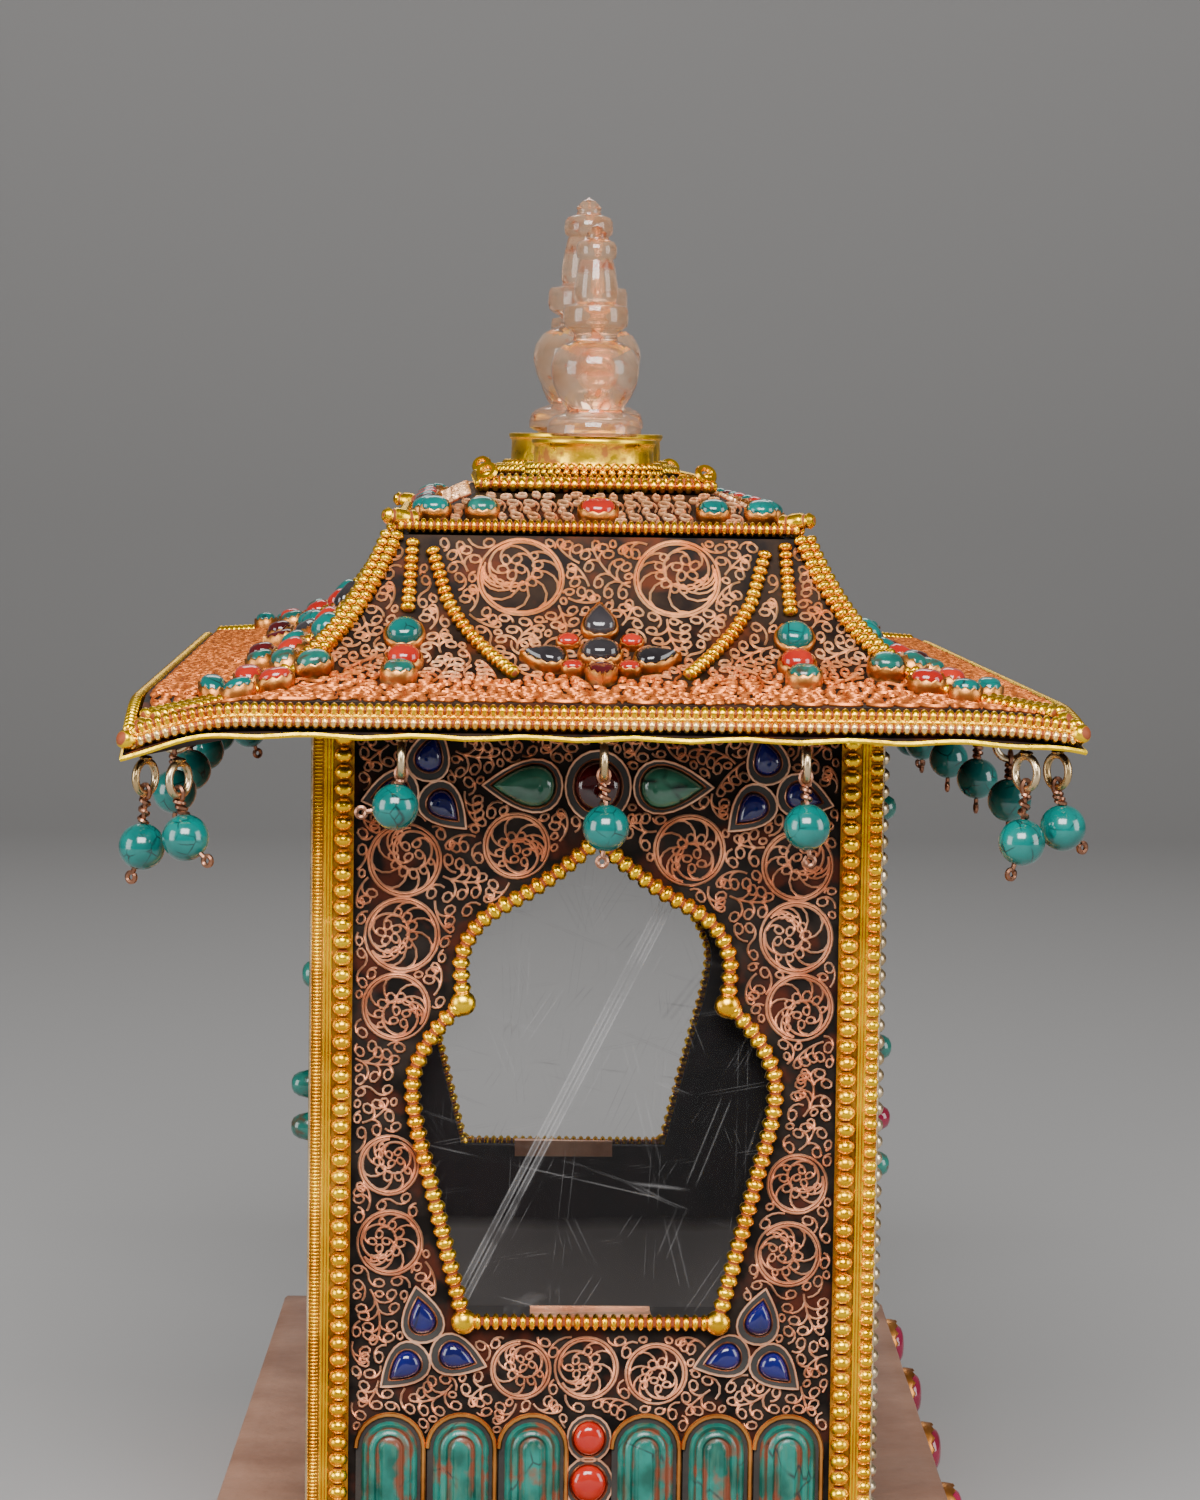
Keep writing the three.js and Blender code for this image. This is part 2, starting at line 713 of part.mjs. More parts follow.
function ridgeFrame() {
  const low = ridgeLevel + gap;
  const band = rectangleBand(ridgeHalfX, ridgeHalfY, ridgeBar, low, low + ridgeBar, 0);
  const knobX = ridgeHalfX - cornerKnobInset;
  const knobY = ridgeHalfY - cornerKnobInset;
  return fuse([band, ...knobsAtCorners(knobX, knobY, low + roofKnob, roofKnob, false)]);
}

// Finials and their collars

// The ring of beads at the collar's foot stays inside the frame of the ridge
function collar({ radius, height, ring: widestRing }) {
  const ring = Math.min(widestRing, ridgeHalfX - ridgeBar - gap);
  const top = collarRingHeight + height;
  const profile = [
    [0, 0],
    [ring, 0],
    [ring, collarRingHeight],
    [radius + collarBulge, collarRingHeight],
    [radius, top - collarBulge * 1.6],
    [radius + collarBulge, top],
    [0, top],
  ];
  return new THREE.LatheGeometry(profile.map(([x, y]) => new THREE.Vector2(x, y)), 14).rotateX(Math.PI / 2);
}

// The crystal's profile, as shares of its base radius and of its height
const crystalProfile = [
  [0, 0],
  [1, 0],
  [1, 0.04],
  [0.94, 0.085],
  [0.72, 0.11],
  [0.6, 0.125],
  [0.76, 0.18],
  [0.9, 0.26],
  [0.93, 0.33],
  [0.86, 0.39],
  [0.7, 0.43],
  [0.46, 0.47],
  [0.5, 0.5],
  [0.67, 0.515],
  [0.67, 0.61],
  [0.44, 0.635],
  [0.46, 0.67],
  [0.36, 0.83],
  [0.41, 0.85],
  [0.38, 0.92],
  [0.2, 0.95],
  [0, 1],
];

function crystal({ radius, height }) {
  const points = crystalProfile.map(([r, z]) => new THREE.Vector2(r * radius, z * height));
  return new THREE.LatheGeometry(points, 10).rotateX(Math.PI / 2);
}

// Pendants: a solder pad, a ring, a wire and beads. The ring lies in the plane square to the eave

function pendant() {
  const ringCentre = -ringRadius - ringWire;
  const beadCentre = -pendantDrop;
  const ring = new THREE.TorusGeometry(ringRadius, ringWire, 3, 8).rotateY(Math.PI / 2);
  const wireTop = ringCentre - ringRadius + wireRadius;
  const wireFoot = beadCentre - pendantBead - 1.5;
  const wire = new THREE.CylinderGeometry(wireRadius, wireRadius, wireTop - wireFoot, 3).rotateX(Math.PI / 2);
  wire.translate(0, 0, (wireTop + wireFoot) / 2);
  const bead = new THREE.SphereGeometry(pendantBead, 6, 4).rotateX(Math.PI / 2).translate(0, 0, beadCentre);
  return [ring.translate(0, 0, ringCentre), wire, bead];
}

// Two pendants on one staple at a corner of the eaves
function pendantPair() {
  const staple = new THREE.BoxGeometry(pairReach * 2.6, 1, 0.6).translate(0, 0, -ringWire);
  const left = pendant().map((piece) => piece.translate(-pairReach, 0, 0));
  const right = pendant().map((piece) => piece.translate(pairReach, 0, -0.01));
  return fuse([staple, ...left, ...right]).rotateZ(Math.PI / 4);
}

// Assembly

const group = new THREE.Group();
group.name = 'buddhist_altar_box';

function add(name, geometry, material, position = [0, 0, 0], turn = 0) {
  const bare = geometry.index ? geometry.toNonIndexed() : geometry;
  bare.deleteAttribute('normal');
  bare.computeVertexNormals();
  const mesh = new THREE.Mesh(bare, material);
  mesh.name = name;
  mesh.position.set(...position);
  mesh.rotation.z = turn;
  group.add(mesh);
}

add('plinth', plinth(), materials.darkCopper);
add('case_floor', caseFloor(), materials.lining);

const walls = [
  { name: 'near_end', side: 0, half: endHalf, face: endFace, window: endWindow },
  { name: 'front', side: 1, half: sideHalf, face: sideFace, window: frontWindow },
  { name: 'far_end', side: 2, half: endHalf, face: endFace, window: endWindow },
  { name: 'back', side: 3, half: sideHalf, face: sideFace, window: null },
];
for (const wall of walls) {
  const panel = wall.window ? windowPanel(wall.half, wall.window) : backPanel(wall.half);
  add(`${wall.name}_panel`, standOnWall(panel, wall.side, wall.face), materials.copper);
  add(`${wall.name}_petals`, standOnWall(petalRow(wall.half), wall.side, wall.face), materials.turquoise);
  if (wall.window) {
    const frame = windowFrame(wall.window).translate(0, 0, gap);
    add(`${wall.name}_window_frame`, standOnWall(frame, wall.side, wall.face), materials.gilt);
    add(`${wall.name}_pane`, standOnWall(pane(wall.window), wall.side, wall.face), materials.glass);
  }
}

const corners = [
  { name: 'far_front', x: 1, y: 1 },
  { name: 'far_back', x: -1, y: 1 },
  { name: 'near_back', x: -1, y: -1 },
  { name: 'near_front', x: 1, y: -1 },
];

function mirrored(geometry, x, y) {
  const copy = geometry.index ? geometry.toNonIndexed() : geometry;
  copy.scale(x, y, 1);
  if (x * y < 0) {
    const positions = copy.attributes.position.array;
    for (let i = 0; i < positions.length; i += 9) {
      for (let k = 0; k < 3; k += 1) {
        const held = positions[i + 3 + k];
        positions[i + 3 + k] = positions[i + 6 + k];
        positions[i + 6 + k] = held;
      }
    }
  }
  return copy;
}

for (const corner of corners) {
  add(`corner_post_${corner.name}`, mirrored(post(corner.x > 0), corner.x, corner.y), materials.gilt);
}

add('lower_roof', lowerRoof(), materials.copper);
add('eave_trim', eaveTrim(), materials.gilt);
add('roof_frame', roofFrame(), materials.gilt);
add('upper_roof', upperRoof(), materials.copper);
add('ridge_frame', ridgeFrame(), materials.gilt);

const finials = [
  { name: 'near', y: -finialSpacing, collarSize: endCollar, crystalSize: endCrystal },
  { name: 'middle', y: 0, collarSize: middleCollar, crystalSize: middleCrystal },
  { name: 'far', y: finialSpacing, collarSize: endCollar, crystalSize: endCrystal },
];
for (const { name, y, collarSize, crystalSize } of finials) {
  const collarFoot = ridgeDeck + gap;
  const crystalFoot = collarFoot + collarRingHeight + collarSize.height + gap;
  add(`finial_collar_${name}`, collar(collarSize), materials.gilt, [0, y, collarFoot]);
  add(`finial_${name}`, crystal(crystalSize), materials.crystal, [0, y, crystalFoot]);
}

const pendantLevel = soffit - gap;
const endRow = eaveLength / 2 - pendantInset;
const sideRow = eaveWidth / 2 - pendantInset;
for (const [name, y, turn] of [['near', -endRow, 0], ['far', endRow, Math.PI]]) {
  for (const i of [-1, 0, 1]) {
    const place = [i * pendantPitchEnd, y, pendantLevel];
    add(`pendant_${name}_${i + 2}`, fuse(pendant()), materials.turquoise, place, turn);
  }
}
for (const [name, x, turn] of [['front', sideRow, Math.PI / 2], ['back', -sideRow, -Math.PI / 2]]) {
  for (let i = 0; i < pendantsOnSide; i += 1) {
    const place = [x, (i - (pendantsOnSide - 1) / 2) * pendantPitchSide, pendantLevel];
    add(`pendant_${name}_${i + 1}`, fuse(pendant()), materials.turquoise, place, turn);
  }
}
corners.forEach((corner, i) => {
  const droop = corner.x < 0 && corner.y < 0 ? nearLeftDroop : cornerDroop;
  const place = [corner.x * (sideRow - pairInset), corner.y * (endRow - pairInset), pendantLevel - droop];
  add(`pendant_pair_${corner.name}`, pendantPair(), materials.turquoise, place, (i * Math.PI) / 2);
});

export default group;
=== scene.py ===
"""Looks of the filigree altar box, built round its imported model.

Sizes are in millimetres until a mesh is made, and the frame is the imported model's own: the origin
on the ground under the middle of the eaves, +Z up, the near end facing -Y and the front facing +X.
"""

import logging
import math
from dataclasses import dataclass, field
from enum import Enum
from typing import Callable, Iterable, Sequence

import bpy
import numpy as np
from mathutils import Matrix, Vector


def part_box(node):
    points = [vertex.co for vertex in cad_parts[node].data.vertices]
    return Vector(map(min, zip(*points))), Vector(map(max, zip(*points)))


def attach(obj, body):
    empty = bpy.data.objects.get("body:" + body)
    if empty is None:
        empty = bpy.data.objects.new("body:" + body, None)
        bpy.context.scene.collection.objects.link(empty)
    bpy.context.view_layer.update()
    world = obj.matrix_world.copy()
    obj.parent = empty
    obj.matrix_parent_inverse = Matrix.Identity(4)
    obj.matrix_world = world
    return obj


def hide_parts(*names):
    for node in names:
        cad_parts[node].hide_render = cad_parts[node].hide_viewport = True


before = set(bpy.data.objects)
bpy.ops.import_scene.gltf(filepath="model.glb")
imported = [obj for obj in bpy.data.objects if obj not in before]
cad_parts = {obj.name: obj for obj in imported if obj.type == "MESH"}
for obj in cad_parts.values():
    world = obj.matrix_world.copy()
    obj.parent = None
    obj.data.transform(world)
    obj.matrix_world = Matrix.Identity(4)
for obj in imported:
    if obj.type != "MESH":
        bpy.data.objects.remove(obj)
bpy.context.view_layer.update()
MM = 0.001
UP = np.array([0, 0, 1.0])
CORNERS = ((-1, -1), (-1, 1), (1, -1), (1, 1))
log = logging.getLogger("altar_box")

Point = tuple[float, float]
Line = np.ndarray
Change = Callable[[np.ndarray], np.ndarray]
Colour = tuple[float, float, float]
Material = bpy.types.Material


def node_box(name: str) -> tuple[np.ndarray, np.ndarray]:
    """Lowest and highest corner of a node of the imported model, in millimetres."""
    low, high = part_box(name)
    return np.array(low) / MM, np.array(high) / MM


class Facing(Enum):
    """The way a wall or a slope of the roof faces, in quarter turns from -Y."""

    NEAR_END = 0
    FRONT = 1
    FAR_END = 2
    BACK = 3

    @property
    def title(self) -> str:
        """Name of the wall that faces this way."""
        return self.name.lower()

    @property
    def narrow(self) -> bool:
        """Whether the wall is one of the two ends."""
        return self.value % 2 == 0

    def turn(self, points: np.ndarray) -> np.ndarray:
        """Turns points drawn for the near end so that they face this way."""
        x, y, z = points.T
        return np.column_stack([*[(x, y), (-y, x), (-x, -y), (y, -x)][self.value], z])


# Materials


class Socket:
    """A shader socket that takes part in plain arithmetic."""

    def __init__(self, tree: "Tree", link: bpy.types.NodeSocket) -> None:
        """Wraps a socket of a tree."""
        self.tree, self.link = tree, link

    def _math(self, operation: str, first: object, second: object) -> "Socket":
        """Adds a Math node for two values."""
        return self.tree.node("ShaderNodeMath", {0: first, 1: second}, operation=operation)

    def __add__(self, other: object) -> "Socket":
        """Sum of two values."""
        return self._math("ADD", self, other)

    def __mul__(self, other: object) -> "Socket":
        """Product of two values."""
        return self._math("MULTIPLY", self, other)

    def __sub__(self, other: object) -> "Socket":
        """Difference of two values."""
        return self._math("SUBTRACT", self, other)

    def __rsub__(self, other: object) -> "Socket":
        """Difference of two values, the first one plain."""
        return self._math("SUBTRACT", other, self)

    def clamped(self, low: float, high: float) -> "Socket":
        """The value spread from 0 at low to 1 at high, and held there."""
        return self.tree.node("ShaderNodeMapRange", {0: self, 1: low, 2: high}, clamp=True)


class Tree:
    """Nodes of one material, round its Principled shader."""

    def __init__(self, name: str) -> None:
        """Makes a material with a bare Principled shader.

        Args:
            name: The material's name.
        """
        self.material = bpy.data.materials.new(name)
        self.material.use_nodes = True
        self.nodes = self.material.node_tree.nodes
        self.links = self.material.node_tree.links
        self.shader = self.nodes["Principled BSDF"]

    def node(self, kind: str, values: dict, output: int | str = 0, **settings: object) -> Socket:
        """Adds one node.

        Args:
            kind: The node's type.
            values: Values or sockets for its inputs, by name or number.
            output: The output wanted.
            **settings: Its properties.

        Returns:
            The wanted output.
        """
        made = self.nodes.new(kind)
        for key, value in settings.items():
            setattr(made, key, value)
        for key, value in values.items():
            self.join(made.inputs[key], value)
        return Socket(self, made.outputs[output])

    def join(self, socket: bpy.types.NodeSocket, value: object) -> None:
        """Links a socket or sets its plain value.

        Args:
            socket: The input.
            value: Another socket, a number, or a colour or vector of three numbers.
        """
        if isinstance(value, Socket):
            self.links.new(value.link, socket)
        elif isinstance(value, (tuple, list)):
            socket.default_value = (*value, 1.0) if socket.type == "RGBA" else value
        else:
            socket.default_value = value

    def place(self) -> Socket:
        """The point on the piece, in metres."""
        return self.node("ShaderNodeTexCoord", {}, "Object")

    def axis(self, number: int) -> Socket:
        """The place on the piece along X, Y or Z, in metres."""
        return self.node("ShaderNodeSeparateXYZ", {0: self.place()}, number)

    def noise(self, scale: float, detail: float = 3.0, stretch: Sequence[float] = ()) -> Socket:
        """Noise over the piece, round 0.5.

        Args:
            scale: Patches in a metre.
            detail: How many finer layers it has.
            stretch: How much denser it is along each axis.

        Returns:
            The noise.
        """
        place = self.place()
        if stretch:
            place = self.node("ShaderNodeMapping", {"Vector": place, "Scale": tuple(stretch)})
        return self.node("ShaderNodeTexNoise", {"Vector": place, "Scale": scale, "Detail": detail})

    def cracks(self, scale: float, width: float) -> Socket:
        """Lines between the cells of a pattern.

        Args:
            scale: How fine the pattern is.
            width: How wide the lines are.

        Returns:
            1 on a line and 0 away from it.
        """
        values = {"Vector": self.place(), "Scale": scale}
        edge = self.node("ShaderNodeTexVoronoi", values, "Distance", feature="DISTANCE_TO_EDGE")
        return 1.0 - edge.clamped(0.0, width)

    def relief(self) -> Socket:
        """The piece's own relief, 1 on a crest and 0 in a hollow."""
        return self.node("ShaderNodeAttribute", {}, "Fac", attribute_name="relief")

    def mix(self, amount: object, first: object, second: object) -> Socket:
        """Blend of two colours, with amount as the share of the second."""
        return self.node("ShaderNodeMix", {0: amount, 6: first, 7: second}, 2, data_type="RGBA")

    def dress(self, **values: object) -> Material:
        """Sets the shader's sockets.

        Args:
            **values: Values by socket name, with _ for a space.

        Returns:
            The finished material.
        """
        for key, value in values.items():
            self.join(self.shader.inputs[key.replace("_", " ")], value)
        return self.material

    def bumped(self, height: Socket, depth: float, strength: float) -> Socket:
        """A normal from a height of 0 to 1, where 1 stands for a depth in metres."""
        values = {"Height": height, "Distance": depth, "Strength": strength}
        return self.node("ShaderNodeBump", values, "Normal")


@dataclass(frozen=True)
class Metal:
    """A metal with patina in its hollows and a worn, brighter skin."""

    name: str
    bright: Colour
    dull: Colour
    patina: Colour
    patina_share: float = 0.5
    roughness: float = 0.32
    metallic: float = 1.0
    dust: Colour | None = None
    dust_below: float = 0.0

    def material(self) -> Material:
        """Darkens the metal where its relief is low, and dusts it under a level.

        Returns:
            The metal's material.
        """
        tree = Tree(self.name)
        patches = tree.noise(160.0, 4.0)
        fine = tree.noise(900.0)
        skin = tree.mix(patches.clamped(0.38, 0.62), self.dull, self.bright)
        if self.dust:
            level = tree.axis(2) + (patches - 0.5) * 0.004
            clean = level.clamped(self.dust_below - 0.001, self.dust_below + 0.0015)
            skin = tree.mix(clean, self.dust, skin)
        depth = (1.0 - tree.relief()) * 1.25 + (fine - 0.5) * 0.9 + (patches - 0.5) * 1.4
        hollow = depth.clamped(1.0 - self.patina_share, 1.25 - self.patina_share)
        return tree.dress(
            Base_Color=tree.mix(hollow, skin, self.patina),
            Metallic=(1.0 - hollow * 0.85) * self.metallic,
            Roughness=(fine - 0.5) * 0.25 + hollow * 0.35 + self.roughness,
            Normal=tree.bumped(fine, 0.00012, 0.6),
        )


@dataclass(frozen=True)
class Gem:
    """A polished stone with veins and cloudy patches."""

    name: str
    deep: Colour
    light: Colour
    vein: Colour = (0.0, 0.0, 0.0)
    vein_share: float = 0.0
    vein_scale: float = 260.0
    cloud_scale: float = 200.0
    roughness: float = 0.12

    def material(self) -> Material:
        """Clouds the stone and draws its veins.

        Returns:
            The stone's material.
        """
        tree = Tree(self.name)
        cloud = tree.noise(self.cloud_scale, 4.0)
        base = tree.mix(cloud.clamped(0.35, 0.68), self.deep, self.light)
        if self.vein_share > 0:
            patch = tree.noise(self.cloud_scale * 1.7, 2.0).clamped(0.42, 0.6)
            base = tree.mix(tree.cracks(self.vein_scale, self.vein_share) * patch, base, self.vein)
        return tree.dress(
            Base_Color=base,
            Roughness=(cloud - 0.5) * 0.12 + self.roughness,
            Coat_Weight=0.5,
            Coat_Roughness=0.04,
        )


@dataclass(frozen=True)
class CarvedTurquoise:
    """Turquoise cut in grooves, stained with cinnabar where they run deep."""

    name: str = "carved_turquoise"
    deep: Colour = (0.003, 0.065, 0.047)
    light: Colour = (0.010, 0.16, 0.125)
    olive: Colour = (0.045, 0.14, 0.09)
    stain: Colour = (0.075, 0.045, 0.02)
    cinnabar: Colour = (0.20, 0.04, 0.014)
    crack: Colour = (0.02, 0.03, 0.03)

    def material(self) -> Material:
        """Streaks the stone, stains its grooves and cracks it.

        Returns:
            The petals' material.
        """
        tree = Tree(self.name)
        streak = tree.noise(420.0, 4.0, (3.0, 3.0, 0.6))
        cloud = tree.noise(240.0, 4.0)
        hollow = 1.0 - tree.relief()
        stone = tree.mix(cloud.clamped(0.38, 0.62), self.deep, self.light)
        stone = tree.mix(streak.clamped(0.5, 0.72) * 0.6, stone, self.olive)
        groove = (hollow * 0.75 + (streak - 0.5) * 2.1).clamped(0.36, 0.70)
        stained = tree.mix(groove * 0.8, stone, self.stain)
        rust = (tree.noise(310.0) + hollow * 0.18).clamped(0.58, 0.70)
        stained = tree.mix(rust * 0.8, stained, self.cinnabar)
        crack = tree.cracks(170.0, 0.025) * cloud.clamped(0.5, 0.6)
        return tree.dress(
            Base_Color=tree.mix(crack, stained, self.crack),
            Roughness=groove * 0.3 + 0.28,
            Normal=tree.bumped(streak, 0.00012, 0.5),
        )


@dataclass(frozen=True)
class DarkGround:
    """The oxidised sheet behind the wires."""

    name: str
    dark: Colour = (0.004, 0.0026, 0.002)
    light: Colour = (0.02, 0.014, 0.011)
    rust: Colour = (0.06, 0.012, 0.005)

    def material(self) -> Material:
        """Clouds the sheet and stains it with rust.

        Returns:
            The sheet's material.
        """
        tree = Tree(self.name)
        cloud = tree.noise(260.0, 4.0)
        base = tree.mix(cloud.clamped(0.4, 0.65), self.dark, self.light)
        stain = tree.noise(190.0).clamped(0.54, 0.66) * 0.8
        return tree.dress(
            Base_Color=tree.mix(stain, base, self.rust),
            Specular_IOR_Level=0.1,
            Roughness=(cloud - 0.5) * 0.2 + 0.6,
            Normal=tree.bumped(cloud, 0.0003, 0.5),
        )


@dataclass(frozen=True)
class Lining:
    """The lining of the case: near-black maroon, darkened with painted shade, and grey at its foot, painted
    light on the case floor.
    """

    name: str = "maroon_lining"
    worn_to: float = 0.0295
    # Painted light: the pale grey of the lit case floor, not wear.
    worn: Colour = (0.30, 0.27, 0.26)
    # Painted shade: the maroon is made near-black for the unlit inside of the case.
    dark: Colour = (0.012, 0.003, 0.005)
    light: Colour = (0.03, 0.008, 0.012)

    def material(self) -> Material:
        """Clouds the lining and paints light over its foot, the grey of the lit case floor.

        Returns:
            The lining's material.
        """
        tree = Tree(self.name)
        cloud = tree.noise(120.0, 4.0)
        level = tree.axis(2) + (cloud - 0.5) * 0.002
        # The maroon, near-black with painted shade.
        maroon = tree.mix(cloud.clamped(0.4, 0.6), self.dark, self.light)
        # Painted light: below the floor's top the lining turns grey, as the lit case floor.
        base = tree.mix(level.clamped(self.worn_to, self.worn_to + 0.002), self.worn, maroon)
        return tree.dress(Base_Color=base, Roughness=0.7, Specular_IOR_Level=0.1)


@dataclass(frozen=True)
class BeatenCopper:
    """Brown copper sheet, cloudy and dull."""

    name: str = "beaten_copper"
    bright: Colour = (0.45, 0.24, 0.155)
    dull: Colour = (0.28, 0.135, 0.082)
    stain: Colour = (0.14, 0.075, 0.052)

    def material(self) -> Material:
        """Clouds and stains the copper.

        Returns:
            The plinth's material.
        """
        tree = Tree(self.name)
        grain = tree.noise(700.0)
        base = tree.mix(tree.noise(70.0, 5.0).clamped(0.36, 0.64), self.dull, self.bright)
        stain = tree.noise(34.0, 4.0).clamped(0.52, 0.68) * 0.5
        return tree.dress(
            Base_Color=tree.mix(stain, base, self.stain),
            Metallic=0.3,
            Roughness=(grain - 0.5) * 0.2 + 0.52,
            Normal=tree.bumped(grain, 0.0002, 0.5),
        )


@dataclass(frozen=True)
class ClearPane:
    """A thin clear pane, scratched by years of cleaning."""

    name: str = "clear_pane"
    tint: Colour = (0.34, 0.33, 0.33)
    scratches: tuple[tuple[float, float, float], ...] = (
        (0.5, 90.0, 0.4),
        (-0.35, 75.0, 0.25),
        (1.42, 110.0, 0.35),
        (-1.25, 80.0, 0.3),
        (0.06, 120.0, 0.35),
    )

    def scratched(self, tree: Tree, plane: Socket) -> Socket:
        """Fine straight scratches, each sort with its own slant, number in a metre and strength.

        Args:
            tree: The material's nodes.
            plane: The place in the pane's plane.

        Returns:
            How deep the scratches are.
        """
        total = 0.0
        for slant, scale, strength in self.scratches:
            values = {"Vector": plane, "Rotation": (0.0, 0.0, -slant), "Scale": (1.0, 14.0, 1.0)}
            drawn = tree.node("ShaderNodeMapping", values, vector_type="TEXTURE")
            cells = {"feature": "DISTANCE_TO_EDGE", "voronoi_dimensions": "2D"}
            values = {"Vector": drawn, "Scale": scale}
            edge = tree.node("ShaderNodeTexVoronoi", values, "Distance", **cells)
            values = {"Vector": plane, "Scale": scale * 1.7, "Detail": 2.0}
            gaps = tree.node("ShaderNodeTexNoise", values).clamped(0.48, 0.6)
            total = (1.0 - edge.clamped(0.001, 0.006)) * gaps * (strength * 0.7) + total
        return total

    def material(self) -> Material:
        """Scratches the pane, with one broad scuff across the near one.

        Returns:
            The pane's material.
        """
        tree = Tree(self.name)
        across, up = tree.axis(0) + tree.axis(1), tree.axis(2)
        scratches = self.scratched(tree, tree.node("ShaderNodeCombineXYZ", {0: across, 1: up}))
        off = across * 0.894 + up * -0.448 + 0.0809
        square = off * off
        scuff = 1.0 - square.clamped(7.8e-8, 1.8e-7)
        broad = scuff * (square.clamped(2.0e-8, 6.0e-8) * 0.5 + 0.25)
        amount = (broad * tree.noise(160.0, 2.0).clamped(0.3, 0.5) + scratches).clamped(0.0, 1.0)
        tree.material.surface_render_method = "BLENDED"
        return tree.dress(
            Base_Color=self.tint,
            Roughness=amount * 0.3 + 0.03,
            Alpha=amount * 0.5 + 0.012,
            Specular_IOR_Level=0.4,
        )


@dataclass(frozen=True)
class RockCrystal:
    """Clear crystal with a warm cast and rusty stains in its seams."""

    name: str = "rock_crystal"
    warm: Colour = (1.0, 0.58, 0.32)
    clear: Colour = (1.0, 0.76, 0.56)
    rust: Colour = (0.80, 0.17, 0.035)

    def material(self) -> Material:
        """Tints the crystal and stains its seams.

        Returns:
            The finials' material.
        """
        tree = Tree(self.name)
        base = tree.mix(tree.noise(230.0, 4.0).clamped(0.35, 0.65), self.warm, self.clear)
        rust = (tree.noise(620.0, 4.0) + (1.0 - tree.relief()) * 0.17).clamped(0.62, 0.74)
        return tree.dress(
            Base_Color=tree.mix(rust * 0.85, base, self.rust),
            Roughness=rust * 0.25 + 0.07,
            IOR=1.42,
            Transmission_Weight=0.9,
            Coat_Weight=0.3,
            Coat_Roughness=0.03,
        )


GILT_RED = (0.24, 0.045, 0.007)
METALS = {
    "gilt": Metal("gilt_beads", (1.0, 0.62, 0.003), (0.86, 0.42, 0.002), GILT_RED, 0.30, 0.28),
    "worn_gilt": Metal("worn_gilt", (0.96, 0.70, 0.30), (0.84, 0.46, 0.08), GILT_RED, 0.34, 0.28),
    "gilt_plain": Metal(
        "gilt_plain", (1.0, 0.66, 0.004), (0.80, 0.47, 0.003), (0.30, 0.10, 0.008), 0.34, 0.32
    ),
    "old_gilt": Metal(
        "old_gilt", (0.55, 0.26, 0.03), (0.26, 0.11, 0.015), (0.09, 0.025, 0.006), 0.5, 0.36
    ),
    "silver": Metal(
        "worn_silver", (0.80, 0.64, 0.42), (0.55, 0.38, 0.18), (0.16, 0.08, 0.04), 0.38, 0.28
    ),
    "wire": Metal(
        "copper_wire", (0.95, 0.56, 0.36), (0.64, 0.30, 0.17), (0.20, 0.045, 0.014), 0.26, 0.38, 0.78
    ),
    "roof_wire": Metal(
        "roof_wire", (0.96, 0.58, 0.32), (0.80, 0.38, 0.16), (0.28, 0.05, 0.01), 0.24, 0.40, 0.72,
        dust=(0.58, 0.15, 0.025), dust_below=0.1142,
    ),
    "dark_wire": Metal(
        "dark_wire", (0.42, 0.20, 0.12), (0.20, 0.09, 0.055), (0.06, 0.025, 0.016), 0.40, 0.34
    ),
    "rim": Metal(
        "collar_copper", (0.66, 0.28, 0.07), (0.42, 0.15, 0.03), (0.16, 0.035, 0.01), 0.42, 0.38
    ),
    "solder": Metal(
        "dark_solder", (0.026, 0.022, 0.018), (0.012, 0.01, 0.008), (0.004, 0.003, 0.0025), 0.4, 0.6, 0.0
    ),
}
GEMS = {
    "lapis": Gem(
        "lapis", (0.001, 0.0015, 0.05), (0.003, 0.004, 0.11), (0.001, 0.001, 0.02), 0.03, 180.0, 220.0
    ),
    "turquoise": Gem(
        "turquoise", (0, 0.085, 0.075), (0, 0.155, 0.135), (0.002, 0.018, 0.018), 0.045, 420.0, 260.0, 0.16
    ),
    "old_turquoise": Gem(
        "old_turquoise", (0.002, 0.075, 0.058), (0.01, 0.15, 0.115), (0.05, 0.03, 0.014), 0.12, 330.0,
        420.0, 0.2,
    ),
    "coral": Gem("coral", (0.32, 0.006, 0.002), (0.45, 0.018, 0.005), cloud_scale=300.0, roughness=0.16),
    "jade": Gem(
        "jade", (0.008, 0.06, 0.032), (0.04, 0.17, 0.10), (0.002, 0.015, 0.01), 0.06, 150.0, 200.0, 0.1
    ),
    "garnet": Gem("garnet", (0.03, 0.001, 0.002), (0.09, 0.002, 0.004), roughness=0.07),
    "smoky": Gem("smoky_glass", (0.010, 0.008, 0.009), (0.035, 0.03, 0.033), roughness=0.08),
    "ruby": Gem("ruby", (0.16, 0.002, 0.02), (0.30, 0.006, 0.05), cloud_scale=170.0, roughness=0.1),
}
OTHERS = {
    "ground": DarkGround("dark_ground"),
    "roof_ground": DarkGround(
        "roof_ground", (0.008, 0.004, 0.003), (0.03, 0.016, 0.009), (0.1, 0.022, 0.006)
    ),
    "lining": Lining(),
    "plinth": BeatenCopper(),
    "petal": CarvedTurquoise(),
    "pane": ClearPane(),
    "crystal": RockCrystal(),
}


class Finishes:
    """Every material of the box, made once and kept under the name of its finish."""

    def __init__(self) -> None:
        """Makes the materials."""
        for name, finish in (METALS | GEMS | OTHERS).items():
            setattr(self, name, finish.material())


# Shapes and pieces


